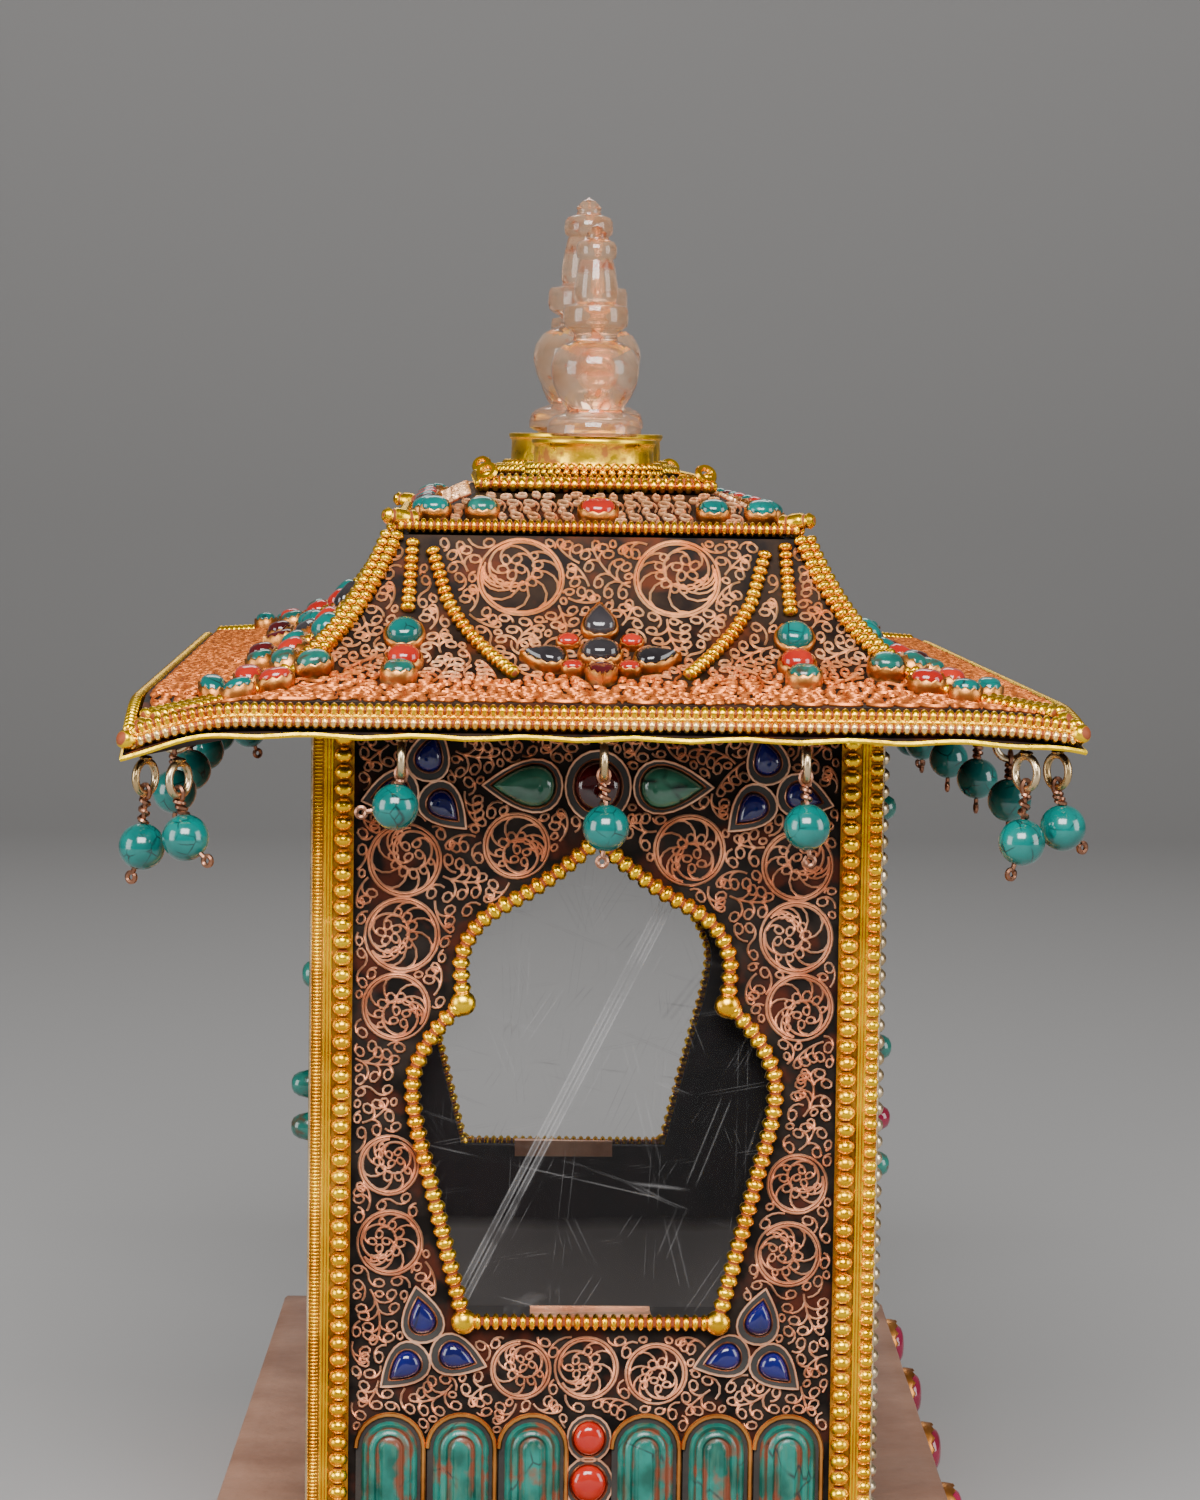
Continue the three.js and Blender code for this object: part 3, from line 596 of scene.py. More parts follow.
@dataclass
class Shape:
    """Points and faces of a mesh that isn't an object yet, in millimetres."""

    points: np.ndarray
    corners: np.ndarray
    counts: np.ndarray
    relief: np.ndarray

    @staticmethod
    def joined(shapes: Iterable["Shape"]) -> "Shape":
        """Puts several shapes together.

        Args:
            shapes: The shapes.

        Returns:
            One shape.
        """
        shapes = list(shapes)
        starts = np.cumsum([0] + [len(s.points) for s in shapes[:-1]])
        return Shape(
            np.concatenate([s.points for s in shapes]),
            np.concatenate([s.corners + start for s, start in zip(shapes, starts)]),
            np.concatenate([s.counts for s in shapes]),
            np.concatenate([s.relief for s in shapes]),
        )

    def moved(self, change: Change) -> "Shape":
        """The shape with its points changed by a function."""
        return Shape(change(self.points), self.corners, self.counts, self.relief)

    def shaded(self, relief: float) -> "Shape":
        """The shape with one relief all over."""
        return Shape(self.points, self.corners, self.counts, np.full(len(self.points), relief))

    def copies(self, turns: np.ndarray, places: np.ndarray) -> "Shape":
        """Copies of the shape.

        Args:
            turns: A 3 by 3 matrix for each copy.
            places: A point for each copy.

        Returns:
            One shape of all the copies.
        """
        number = len(places)
        points = np.einsum("nij,pj->npi", turns, self.points) + places[:, None, :]
        offsets = np.repeat(np.arange(number) * len(self.points), len(self.corners))
        return Shape(
            points.reshape(-1, 3),
            np.tile(self.corners, number) + offsets,
            np.tile(self.counts, number),
            np.tile(self.relief, number),
        )

    def at(self, turn: Matrix, place: Sequence[float]) -> "Shape":
        """The shape turned by a matrix and set at a place."""
        return self.copies(np.array([turn]), np.array([place]))

    def mirrored_back(self) -> "Shape":
        """Turns the faces of a mirrored shape to the outside again.

        Returns:
            The shape with its faces the other way round.
        """
        starts = np.concatenate([[0], np.cumsum(self.counts)[:-1]])
        owner = np.repeat(np.arange(len(self.counts)), self.counts)
        last = (starts + self.counts)[owner] - 1
        order = starts[owner] + last - np.arange(len(self.corners))
        return Shape(self.points, self.corners[order], self.counts, self.relief)


Part = tuple[Shape, Material]
Place = tuple[float, float, float]


def only(piece: bpy.types.Object) -> None:
    """Selects one object and nothing else.

    Args:
        piece: The object.
    """
    bpy.ops.object.select_all(action="DESELECT")
    piece.select_set(True)
    bpy.context.view_layer.objects.active = piece


def linked(name: str, data: bpy.types.ID) -> bpy.types.Object:
    """Makes an object of some data and puts it in the scene.

    Args:
        name: The object's name.
        data: Its mesh, curve, camera or light.

    Returns:
        The object.
    """
    made = bpy.data.objects.new(name, data)
    bpy.context.scene.collection.objects.link(made)
    return made


def taken(piece: bpy.types.Object, relief: Change | None = None) -> Shape:
    """Reads a modelled object's mesh and removes the object.

    Args:
        piece: The object, modelled in millimetres.
        relief: Gives each point's relief, 1 on a crest and 0 in a hollow.

    Returns:
        Its shape.
    """
    mesh = piece.data
    points = np.empty(len(mesh.vertices) * 3, np.float32)
    mesh.vertices.foreach_get("co", points)
    corners = np.empty(len(mesh.loops), np.int32)
    mesh.loops.foreach_get("vertex_index", corners)
    counts = np.empty(len(mesh.polygons), np.int32)
    mesh.polygons.foreach_get("loop_total", counts)
    points = points.reshape(-1, 3).astype(float)
    bpy.data.objects.remove(piece)
    return Shape(points, corners, counts, relief(points) if relief else np.ones(len(points)))


def piece_from(
    name: str, parts: Sequence[Part], replaced: Sequence[str] = ()
) -> None:
    """Makes one finished piece that rides on the box.

    Args:
        name: The piece's name.
        parts: Its shapes, each with its material.
        replaced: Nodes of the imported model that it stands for.
    """
    whole = Shape.joined([shape for shape, _ in parts])
    mesh = bpy.data.meshes.new(name)
    mesh.vertices.add(len(whole.points))
    mesh.vertices.foreach_set("co", (whole.points * MM).astype(np.float32).ravel())
    mesh.loops.add(len(whole.corners))
    mesh.loops.foreach_set("vertex_index", whole.corners.astype(np.int32))
    mesh.polygons.add(len(whole.counts))
    starts = np.concatenate([[0], np.cumsum(whole.counts)[:-1]]).astype(np.int32)
    mesh.polygons.foreach_set("loop_start", starts)
    slots = [np.full(len(shape.counts), i, np.int32) for i, (shape, _) in enumerate(parts)]
    mesh.polygons.foreach_set("material_index", np.concatenate(slots))
    for _, material in parts:
        mesh.materials.append(material)
    relief = mesh.attributes.new("relief", "FLOAT", "POINT")
    relief.data.foreach_set("value", whole.relief.astype(np.float32))
    mesh.update(calc_edges=True)
    mesh.validate()
    piece = linked(name, mesh)
    only(piece)
    bpy.ops.object.shade_smooth_by_angle(angle=math.radians(50))
    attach(piece, "root")
    if replaced:
        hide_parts(*replaced)
    log.info("%s: %d faces", name, len(mesh.polygons))


def coat(name: str, material: Material) -> None:
    """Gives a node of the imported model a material.

    Args:
        name: The node's name.
        material: The material.
    """
    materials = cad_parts[name].data.materials
    materials.clear()
    materials.append(material)


def ball(radii: Sequence[float], segments: int, rings: int, bead: bool = True) -> Shape:
    """A ball stretched to three radii.

    Args:
        radii: Its radii along X, Y and Z.
        segments: Faces round it.
        rings: Faces from pole to pole.
        bead: Whether it is a bead, with hollows at its ends along X.

    Returns:
        Its shape.
    """
    bpy.ops.object.select_all(action="DESELECT")
    bpy.ops.mesh.primitive_uv_sphere_add(segments=segments, ring_count=rings, radius=1.0)
    made = bpy.context.active_object
    bpy.ops.object.mode_set(mode="EDIT")
    bpy.ops.transform.resize(value=tuple(radii))
    bpy.ops.object.mode_set(mode="OBJECT")
    return taken(made, (lambda p: 1.0 - (np.abs(p[:, 0]) / radii[0]) ** 3) if bead else None)


def turned(profile: Sequence[Point], steps: int) -> Shape:
    """A profile spun round the Z axis, with its doubles merged.

    Args:
        profile: Points of radius and height.
        steps: Faces round the axis.

    Returns:
        Its shape, darker in the waists of the profile.
    """
    mesh = bpy.data.meshes.new("profile")
    edges = [(i, i + 1) for i in range(len(profile) - 1)]
    mesh.from_pydata([(r, 0.0, z) for r, z in profile], edges, [])
    made = linked("profile", mesh)
    only(made)
    bpy.ops.object.mode_set(mode="EDIT")
    bpy.ops.mesh.select_all(action="SELECT")
    bpy.ops.mesh.spin(steps=steps, angle=math.tau, center=(0, 0, 0), axis=(0, 0, 1))
    bpy.ops.mesh.select_all(action="SELECT")
    bpy.ops.mesh.remove_doubles(threshold=0.001)
    bpy.ops.mesh.normals_make_consistent(inside=False)
    bpy.ops.object.mode_set(mode="OBJECT")
    radii, heights = np.array(profile, float).T
    around = [np.mean(radii[max(0, i - 2) : i + 3]) for i in range(len(radii))]
    crest = np.clip(0.5 + (radii - around) / (radii.max() * 0.25), 0, 1)
    return taken(made, lambda p: crest[np.argmin(np.abs(p[:, 2][:, None] - heights), axis=1)])


def meshed(data: bpy.types.Curve, lines: Sequence[Line], closed: bool) -> Shape:
    """Draws lines in a curve and turns it into a mesh.

    Args:
        data: The curve, with its bevel or extrusion set.
        lines: Rows of points, with two or three coordinates.
        closed: Whether each line runs back to its start.

    Returns:
        Its shape.
    """
    for line in lines:
        spline = data.splines.new("POLY")
        spline.points.add(len(line) - 1)
        flat = np.zeros((len(line), 4))
        flat[:, : line.shape[1]] = line
        flat[:, 3] = 1.0
        spline.points.foreach_set("co", flat.astype(np.float32).ravel())
        spline.use_cyclic_u = closed
    only(linked(data.name, data))
    bpy.ops.object.convert(target="MESH")
    return taken(bpy.context.view_layer.objects.active)


def wires(lines: Sequence[Line], radius: float, closed: bool = False, sides: int = 0) -> Shape:
    """Round wires along lines, made as curves with a bevel.

    Args:
        lines: Rows of points, with two or three coordinates.
        radius: The wire's radius.
        closed: Whether each line runs back to its start.
        sides: Extra roundness; 0 gives four sides.

    Returns:
        Their shape.
    """
    data = bpy.data.curves.new("wires", "CURVE")
    data.dimensions = "3D"
    data.bevel_depth = radius
    data.bevel_resolution = sides
    data.use_fill_caps = not closed
    return meshed(data, lines, closed)


def sheet(outlines: Sequence[Line], low: float, high: float) -> Shape:
    """A flat sheet cut to outlines, the inner ones holes.

    Args:
        outlines: Closed lines in the sheet's plane.
        low: Level of its back.
        high: Level of its face.

    Returns:
        Its shape.
    """
    data = bpy.data.curves.new("sheet", "CURVE")
    data.dimensions = "2D"
    data.fill_mode = "BOTH"
    data.extrude = (high - low) / 2
    return meshed(data, outlines, True).moved(lambda p: p + UP * (low + high) / 2)


def ringed(rings: Sequence[np.ndarray], relief: Sequence[float] | None = None) -> Shape:
    """A skin of four-sided faces through rings of equal count.

    Args:
        rings: Rings of points.
        relief: A relief for each ring.

    Returns:
        The skin, open at its first and its last ring.
    """
    count = len(rings[0])
    around = np.arange(count)
    after = (around + 1) % count
    bands = []
    for here in range(0, (len(rings) - 1) * count, count):
        there = here + count
        bands.append(np.column_stack([here + around, here + after, there + after, there + around]))
    corners = np.concatenate(bands).ravel()
    shade = np.ones(len(rings)) if relief is None else np.array(relief, float)
    fours = np.full(len(corners) // 4, 4)
    return Shape(np.concatenate(rings), corners, fours, np.repeat(shade, count))


def capped(shape: Shape, ring: np.ndarray, centre: Sequence[float], flip: bool = False) -> Shape:
    """Closes an open ring of a skin with a fan about a point.

    Args:
        shape: The skin.
        ring: Numbers of the ring's points, in order.
        centre: The fan's middle point.
        flip: Whether the fan faces the other way.

    Returns:
        The closed skin.
    """
    after = np.roll(ring, -1)
    order = [after, ring] if flip else [ring, after]
    fan = np.column_stack([*order, np.full(len(ring), len(shape.points))]).ravel()
    return Shape(
        np.vstack([shape.points, centre]),
        np.concatenate([shape.corners, fan]),
        np.concatenate([shape.counts, np.full(len(ring), 3)]),
        np.append(shape.relief, 1.0),
    )


def lidded(
    rings: Sequence[np.ndarray], top: Sequence[float], relief: Sequence[float] | None = None
) -> Shape:
    """A skin through rings, closed over its last one.

    Args:
        rings: Rings of points.
        top: The point over the last ring.
        relief: A relief for each ring.

    Returns:
        The skin, open at its first ring.
    """
    count = len(rings[0])
    return capped(ringed(rings, relief), np.arange(count) + count * (len(rings) - 1), top)


def closed_body(rings: Sequence[np.ndarray], foot: float, top: float) -> Shape:
    """A closed body through rings about the Z axis, from the level foot to the level top."""
    return capped(lidded(rings, (0, 0, top)), np.arange(len(rings[0])), (0, 0, foot), flip=True)


def frames_along(line: Line, up: np.ndarray) -> np.ndarray:
    """A turn for each point of a line: X along the line, Z towards up.

    Args:
        line: The points.
        up: The way up at each point.

    Returns:
        A matrix for each point.
    """
    ahead = np.gradient(line, axis=0)
    ahead /= np.linalg.norm(ahead, axis=1)[:, None] + 1e-9
    rise = up - np.sum(up * ahead, axis=1)[:, None] * ahead
    rise /= np.linalg.norm(rise, axis=1)[:, None] + 1e-9
    return np.stack([ahead, np.cross(rise, ahead), rise], axis=2)


def spread(line: Line, pitch: float, closed: bool = False) -> Line:
    """Points at an even pitch along a line.

    Args:
        line: The line.
        pitch: About how far apart they are.
        closed: Whether the line runs back to its start.

    Returns:
        The points, half a pitch in from either end, or all round.
    """
    whole = np.vstack([line, line[:1]]) if closed else line
    steps = np.linalg.norm(np.diff(whole, axis=0), axis=1)
    walked = np.concatenate([[0], np.cumsum(steps)])
    number = max(1, round(walked[-1] / pitch))
    places = (np.arange(number) + 0.5) / number * walked[-1]
    return np.column_stack([np.interp(places, walked, axis) for axis in whole.T])


def beaded(
    bead: Shape, line: Line, up: Sequence[float], pitch: float, closed: bool = False
) -> Shape:
    """A row of beads along a line.

    Args:
        bead: One bead, its hole along X.
        line: The line through the beads.
        up: The way up.
        pitch: How far apart they are.
        closed: Whether the line runs back to its start.

    Returns:
        The row.
    """
    places = spread(line, pitch, closed)
    if not closed:
        return bead.copies(frames_along(places, np.array(up, float)), places)
    looped = np.vstack([places[-1:], places, places[:1]])
    return bead.copies(frames_along(looped, np.array(up, float))[1:-1], places)


# Outlines and stones


def at_level(line: Line, level: float) -> np.ndarray:
    """A flat line's points at one level."""
    return np.column_stack([line, np.full(len(line), level)])


def oblong(left: float, low: float, right: float, high: float) -> Line:
    """A closed oblong outline."""
    return np.array([(left, low), (right, low), (right, high), (left, high)])


def edges_walked(half_x: float, half_y: float, shares: np.ndarray) -> Line:
    """Points along the four edges of a rectangle about the origin.

    Args:
        half_x: Half its width.
        half_y: Half its height.
        shares: How far along its edge each point is, from 0 to 1.

    Returns:
        The points, edge after edge.
    """
    corners = oblong(-half_x, -half_y, half_x, half_y)
    sides = zip(corners, np.roll(corners, -1, axis=0))
    return np.concatenate([a + shares[:, None] * (b - a) for a, b in sides])


def headed(angles: np.ndarray) -> Line:
    """Steps of length 1 at angles, in radians."""
    return np.column_stack([np.cos(angles), np.sin(angles)])


def circle(radius: float, number: int = 20, stretch: float = 1.0) -> Line:
    """A closed round outline, its height a stretched share of its width."""
    angle = np.arange(number) / number * math.tau
    return np.column_stack([radius * np.cos(angle), radius * stretch * np.sin(angle)])


def drop(length: float, width: float, number: int = 24) -> Line:
    """A closed drop-shaped outline with its point along +Y.

    Args:
        length: From its round end to its point.
        width: Its greatest width.
        number: Its points.

    Returns:
        Its points.
    """
    angle = -np.arange(number) / number * math.tau
    side = np.sin(angle) * np.abs(np.sin(angle / 2)) ** 1.1
    side *= width / 2 / np.abs(side).max()
    foot = -width / 2 - (length - width) * 0.3
    return np.column_stack([side, foot + (np.cos(angle) + 1) / 2 * length])


def quadratic(start: Point, bend: Point, end: Point, number: int = 9) -> Line:
    """Points of a curve from start to end, drawn towards bend, without its first point."""
    t = (np.arange(number) + 1)[:, None] / number
    return (1 - t) ** 2 * np.array(start) + 2 * t * (1 - t) * np.array(bend) + t * t * np.array(end)


def cabochon(outline: Line, height: float, foot: float) -> Shape:
    """A domed, polished stone on an outline.

    Args:
        outline: Its outline, round the origin.
        height: How far its crown stands above its foot.
        foot: Level of its foot.

    Returns:
        Its shape.
    """
    middle = (outline.max(0) + outline.min(0)) / 2 * 0.5
    steps = [(1.0, -0.25), (1.0, 0.12), (0.95, 0.42), (0.82, 0.72), (0.6, 0.91), (0.3, 0.99)]
    about = outline - middle
    rings = [at_level(middle + about * size, foot + rise * height) for size, rise in steps]
    return lidded(rings, (*middle, foot + height))


def toothed_collar(outline: Line, height: float) -> Shape:
    """A thin strip of sheet bent round a stone, its edge cut in teeth and leaning over it.

    Args:
        outline: Its outline.
        height: Its height.

    Returns:
        Its shape.
    """
    number, lean = len(outline), 0.03
    teeth = max(8, number // 2)
    wave = 0.1 * height * np.cos(np.arange(number) / number * math.tau * teeth)
    steps = [
        (1.0, -0.3, 0.0),
        (1.03, height * 0.5, 0.0),
        (1.0 - lean * 0.5, height * 0.9, 1.0),
        (0.93 - lean, height, 1.0),
        (0.84 - lean, height * 0.86, 0.5),
        (0.84 - lean, 0.0, 0.0),
    ]
    rings = [np.column_stack([outline * size, z + wave * share]) for size, z, share in steps]
    return ringed(rings, [0.3, 0.8, 0.9, 1.0, 0.5, 0.0])


def placed(line: Line, x: float, y: float, turn: float = 0.0) -> Line:
    """A flat line turned and set at a place."""
    c, s = math.cos(turn), math.sin(turn)
    return line @ np.array([[c, s], [-s, c]]) + np.array([x, y])


def set_at(shape: Shape, x: float, y: float, turn: float = 0.0) -> Shape:
    """Turns a flat-lying shape and sets it at a place of its wall's plane."""
    return shape.moved(lambda p: np.column_stack([placed(p[:, :2], x, y, turn), p[:, 2]]))


def places_round(x: float, y: float, reach: float, number: int, turn: float = 0.0) -> list[Place]:
    """Places round a middle, each turned to point outwards."""
    angles = [turn + i * math.tau / number for i in range(number)]
    return [(x - math.sin(a) * reach, y + math.cos(a) * reach, a) for a in angles]


@dataclass
class StoneWork:
    """Stones in their settings, gathered by material."""

    finishes: Finishes
    parts: dict[str, tuple[Material, list[Shape]]] = field(default_factory=dict)

    def add(self, shape: Shape, material: Material) -> None:
        """Keeps a shape under its material."""
        self.parts.setdefault(material.name, (material, []))[1].append(shape)

    def add_all(self, other: "StoneWork", change: Change) -> None:
        """Adds another work with its points changed.

        Args:
            other: The other work.
            change: Changes points.
        """
        for material, shapes in other.parts.values():
            for shape in shapes:
                self.add(shape.moved(change), material)

    def listed(self, change: Change) -> list[Part]:
        """Its shapes, one of each material, with their points changed."""
        return [(Shape.joined(shapes).moved(change), kind) for kind, shapes in self.parts.values()]

    def cup(
        self, outline: Line, place: Sequence[float], stone: Material, share: float, height: float
    ) -> None:
        """A stone in a filled cup with a wire round it, as on the walls.

        Args:
            outline: The cup's outline.
            place: Where it is in the plane, and its turn.
            stone: The stone's material.
            share: The stone's size as a share of the cup.
            height: The stone's height.
        """
        level = 0.45
        steps = [(0.99, -0.2), (0.97, level), (share + 0.1, level)]
        steps += [(share, level * 0.9), (share, -0.2)]
        rings = [at_level(outline * size, rise) for size, rise in steps]
        seat = at_level(outline * (share + 0.05), level)
        for shape, material in (
            (ringed(rings, [0.2, 0.9, 0.9, 0.1, 0.1]), self.finishes.solder),
            (wires([at_level(outline, level)], 0.14, closed=True, sides=1), self.finishes.wire),
            (wires([seat], 0.13, closed=True), self.finishes.dark_wire),
            (cabochon(outline * share, height, level * 0.6), stone),
        ):
            self.add(set_at(shape, *place), material)

    def toothed(
        self, outline: Line, place: Sequence[float], stone: Material, height: float, wall: float
    ) -> None:
        """A stone in a collar of toothed sheet, as on the roof.

        Args:
            outline: The collar's outline.
            place: Where it is in the plane, and its turn.
            stone: The stone's material.
            height: How far the stone's crown stands above the collar.
            wall: The collar's height.
        """
        self.add(set_at(toothed_collar(outline, wall), *place), self.finishes.rim)
        self.add(set_at(cabochon(outline * 0.85, height, wall * 0.75), *place), stone)


# Filigree


@dataclass
class Filigree:
    """Wire scrolls that fill a flat field, with a grid of what is already taken."""

    low: Point
    high: Point
    seed: int
    cell: float = 0.21
    limit: int = 1850
    hooks: list[Line] = field(default_factory=list)
    rings: list[Line] = field(default_factory=list)

    def __post_init__(self) -> None:
        """Makes the empty grid."""
        self.random = np.random.default_rng(self.seed)
        self.across = int((self.high[0] - self.low[0]) / self.cell) + 1
        self.up = int((self.high[1] - self.low[1]) / self.cell) + 1
        self.full = np.zeros((self.up, self.across), bool)

    def block(self, outline: Line, outside: bool = False) -> None:
        """Takes the inside of an outline, or all that is outside it.

        Args:
            outline: A closed outline.
            outside: Whether the outside is taken.
        """
        x, y = self.centres()
        inside = np.zeros_like(self.full)
        for (x0, y0), (x1, y1) in zip(outline, np.roll(outline, -1, axis=0)):
            if y0 != y1:
                crossed = (y0 > y) != (y1 > y)
                inside ^= crossed & (x < (x1 - x0) * (y - y0) / (y1 - y0) + x0)
        self.full |= ~inside if outside else inside

    def centres(self) -> list[np.ndarray]:
        """Places of the cells' middles, along the field and up it."""
        along, up = ((np.arange(number) + 0.5) * self.cell for number in (self.across, self.up))
        return np.meshgrid(self.low[0] + along, self.low[1] + up)

    def block_line(self, line: Line, reach: float) -> None:
        """Takes the cells within reach of a line's points.

        Args:
            line: The points.
            reach: How far from each the cells are taken.
        """
        x, y = self.centres()
        for px, py in line:
            self.full |= (x - px) ** 2 + (y - py) ** 2 < reach * reach

    def cells_of(self, line: Line) -> tuple[np.ndarray, np.ndarray]:
        """Row and column of the cell under each point."""
        column, row = ((line - np.array(self.low)) / self.cell).astype(int).T
        return row, column

    def free(self, line: Line) -> bool:
        """Whether a line lies on free cells.

        Args:
            line: The line's points.

        Returns:
            True when none of its cells is taken or on the field's border.
        """
        row, column = self.cells_of(line)
        if min(row.min(), column.min()) < 1:
            return False
        if row.max() > self.up - 2 or column.max() > self.across - 2:
            return False
        return not self.full[row, column].any()

    def take(self, line: Line) -> None:
        """Marks the cells under and beside a line.

        Args:
            line: The line's points.
        """
        row, column = self.cells_of(line)
        for up in (-1, 0, 1):
            beside = np.clip(row + up, 0, self.up - 1)
            for along in (-1, 0, 1):
                self.full[beside, np.clip(column + along, 0, self.across - 1)] = True

    @staticmethod
    def curled(tail: Line, side: float, head: float) -> Line:
        """A tail of wire that ends in a small open eye.

        Args:
            tail: The tail's points.
            side: 1 when the eye turns left, -1 when it turns right.
            head: The eye's radius across the tail.

        Returns:
            All its points.
        """
        ahead = tail[-1] - tail[-2]
        ahead = ahead / (np.linalg.norm(ahead) + 1e-9)
        across = side * np.array([-ahead[1], ahead[0]])
        turn = np.linspace(0, 1, 8)[1:, None] * math.radians(325)
        eye = tail[-1] + 1.28 * head * np.sin(turn) * ahead + head * (1 - np.cos(turn)) * across
        return np.vstack([tail, eye])

    def hook(
        self, foot: Sequence[float], heading: float, length: float, bend: float, head: float
    ) -> Line:
        """A comma of wire with a bent tail.

        Args:
            foot: Where it starts.
            heading: The way its tail sets out, in radians.
            length: Its length.
            bend: How far it turns on its way, and to which side.
            head: The eye's radius.

        Returns:
            Its points.
        """
        turn = heading + bend * np.linspace(0.1, 1, 4)
        step = max(0.15, length - 1.2 * head) / 4
        tail = np.vstack([[0, 0], np.cumsum(headed(turn) * step, axis=0)])
        return self.curled(tail + np.array(foot), math.copysign(1.0, bend), head)

    def swirl(self, middle: np.ndarray, start: Point, end: Point, hand: int, head: float) -> None:
        """Adds a comma that swirls in from a ring.

        Args:
            middle: The ring's middle.
            start: Radius and angle of its foot.
            end: Radius and angle of its head.
            hand: 1 or -1, the way it swirls.
            head: The eye's radius.
        """
        share = np.linspace(0, 1, 5)
        radius = start[0] + (end[0] - start[0]) * share**1.7
        angle = start[1] + (end[1] - start[1]) * share
        self.hooks.append(self.curled(middle + radius[:, None] * headed(angle), hand, head))

    def rosette(self, x: float, y: float, radius: float, phase: float, hand: int) -> None:
        """A double ring whose inner wire runs on into a smaller ring, with commas between them.

        Args:
            x: Its middle.
            y: Its middle.
            radius: Its radius.
            phase: The side on which the two rings meet.
            hand: 1 or -1, the way it swirls.
        """
        middle = np.array([x, y])
        inner = radius * 0.53
        core = middle + (radius - inner - 0.5) * np.array([math.cos(phase), math.sin(phase)])
        self.rings.append(middle + radius * headed(phase + hand * np.linspace(0, 1, 36) * math.tau))
        share = np.linspace(0.1, 2, 60)
        way = np.clip((share - 0.94) / 0.12, 0, 1)[:, None]
        size = (radius - 0.36) * (1 - way) + inner * way
        ring = size * headed(phase + hand * share * math.tau)
        self.rings.append(middle * (1 - way) + core * way + ring)
        number = max(8, round(math.tau * (inner + 0.6) / 1.2))
        for i in range(number):
            around = phase + hand * i / number * math.tau
            head = core + (inner + 0.42) * np.array([math.cos(around), math.sin(around)]) - middle
            rest, angle = math.hypot(*head), math.atan2(head[1], head[0])
            depth = radius - 0.4 - rest
            if depth < 0.45:
                continue
            sweep = hand * (0.3 + 0.22 * depth) * self.random.uniform(0.9, 1.1)
            eye = min(0.46, 0.2 + depth * 0.2)
            self.swirl(middle, (radius - 0.4, angle - sweep), (rest, angle), hand, eye)
        eyes = max(4, round(inner * 2.1))
        for i in range(eyes):
            angle = phase + (i + 0.3) / eyes * math.tau
            foot = (inner - 0.1, angle - hand * 0.9)
            self.swirl(core, foot, (inner * 0.52, angle), hand, inner * 0.19)
        self.block(middle + circle(radius + 0.25))

    def frond(
        self,
        heading: float,
        length: float,
        bend: float,
        width: float,
        sides: Sequence[int] = (-1, 1),
    ) -> list[Line]:
        """A bent stem with commas on its sides, smaller towards its tip.

        Args:
            heading: The way it sets out.
            length: Its length.
            bend: How far it turns on its way.
            width: Length of its longest commas.
            sides: The sides that bear commas.

        Returns:
            Its lines, the stem first.
        """
        steps = 10
        turn = heading + bend * np.linspace(0, 1, steps)
        stem = np.cumsum(headed(turn) * length / steps, axis=0)
        lines = [self.curled(np.vstack([[0, 0], stem]), math.copysign(1.0, bend), 0.44)]
        pairs = max(2, round(length / 1.5))
        for i in range(pairs):
            share = (i + 0.4) / pairs
            spot = stem[min(steps - 1, int(share * steps))]
            way = heading + bend * share
            size = width * (1.0 - 0.4 * share) * self.random.uniform(0.92, 1.08)
            lines += [self.hook(spot, way + side * 0.35, size, side * 1.55, 0.47) for side in sides]
        return lines

    def scroll(self, heading: float, length: float) -> list[Line]:
        """A wire with a curl at either end, turned opposite ways."""
        ways = (heading, heading + math.pi)
        return [self.hook((0, 0), way, length * 0.5, 1.3, 0.44) for way in ways]

    def settle(self, motif: Callable[[float], list[Line]], rounds: int, keep: int = 6) -> None:
        """Sets copies of a motif wherever it fits.

        Args:
            motif: Gives the motif's lines about the origin, turned by an angle.
            rounds: How many times a new motif is tried over the field.
            keep: How many copies of each are set at most.
        """
        low = np.array(self.low)
        for _ in range(rounds):
            lines = motif(self.random.uniform(0, math.tau))
            rows, columns = np.nonzero(~self.full)
            if len(rows) == 0 or len(self.hooks) > self.limit:
                return
            pick = self.random.integers(0, len(rows), 300)
            spots = (np.column_stack([columns[pick], rows[pick]]) + 0.5) * self.cell + low
            cells = (np.vstack(lines)[None] + spots[:, None] - low) / self.cell
            x, y = cells[..., 0].astype(int), cells[..., 1].astype(int)
            inside = (x > 0) & (y > 0) & (x < self.across - 1) & (y < self.up - 1)
            hit = self.full[np.clip(y, 0, self.up - 1), np.clip(x, 0, self.across - 1)] | ~inside
            for i in np.flatnonzero(~hit.any(axis=1))[:keep]:
                moved = [line + spots[i] for line in lines]
                if self.free(np.vstack(moved)):
                    self.hooks.extend(moved)
                    for line in moved:
                        self.take(line)

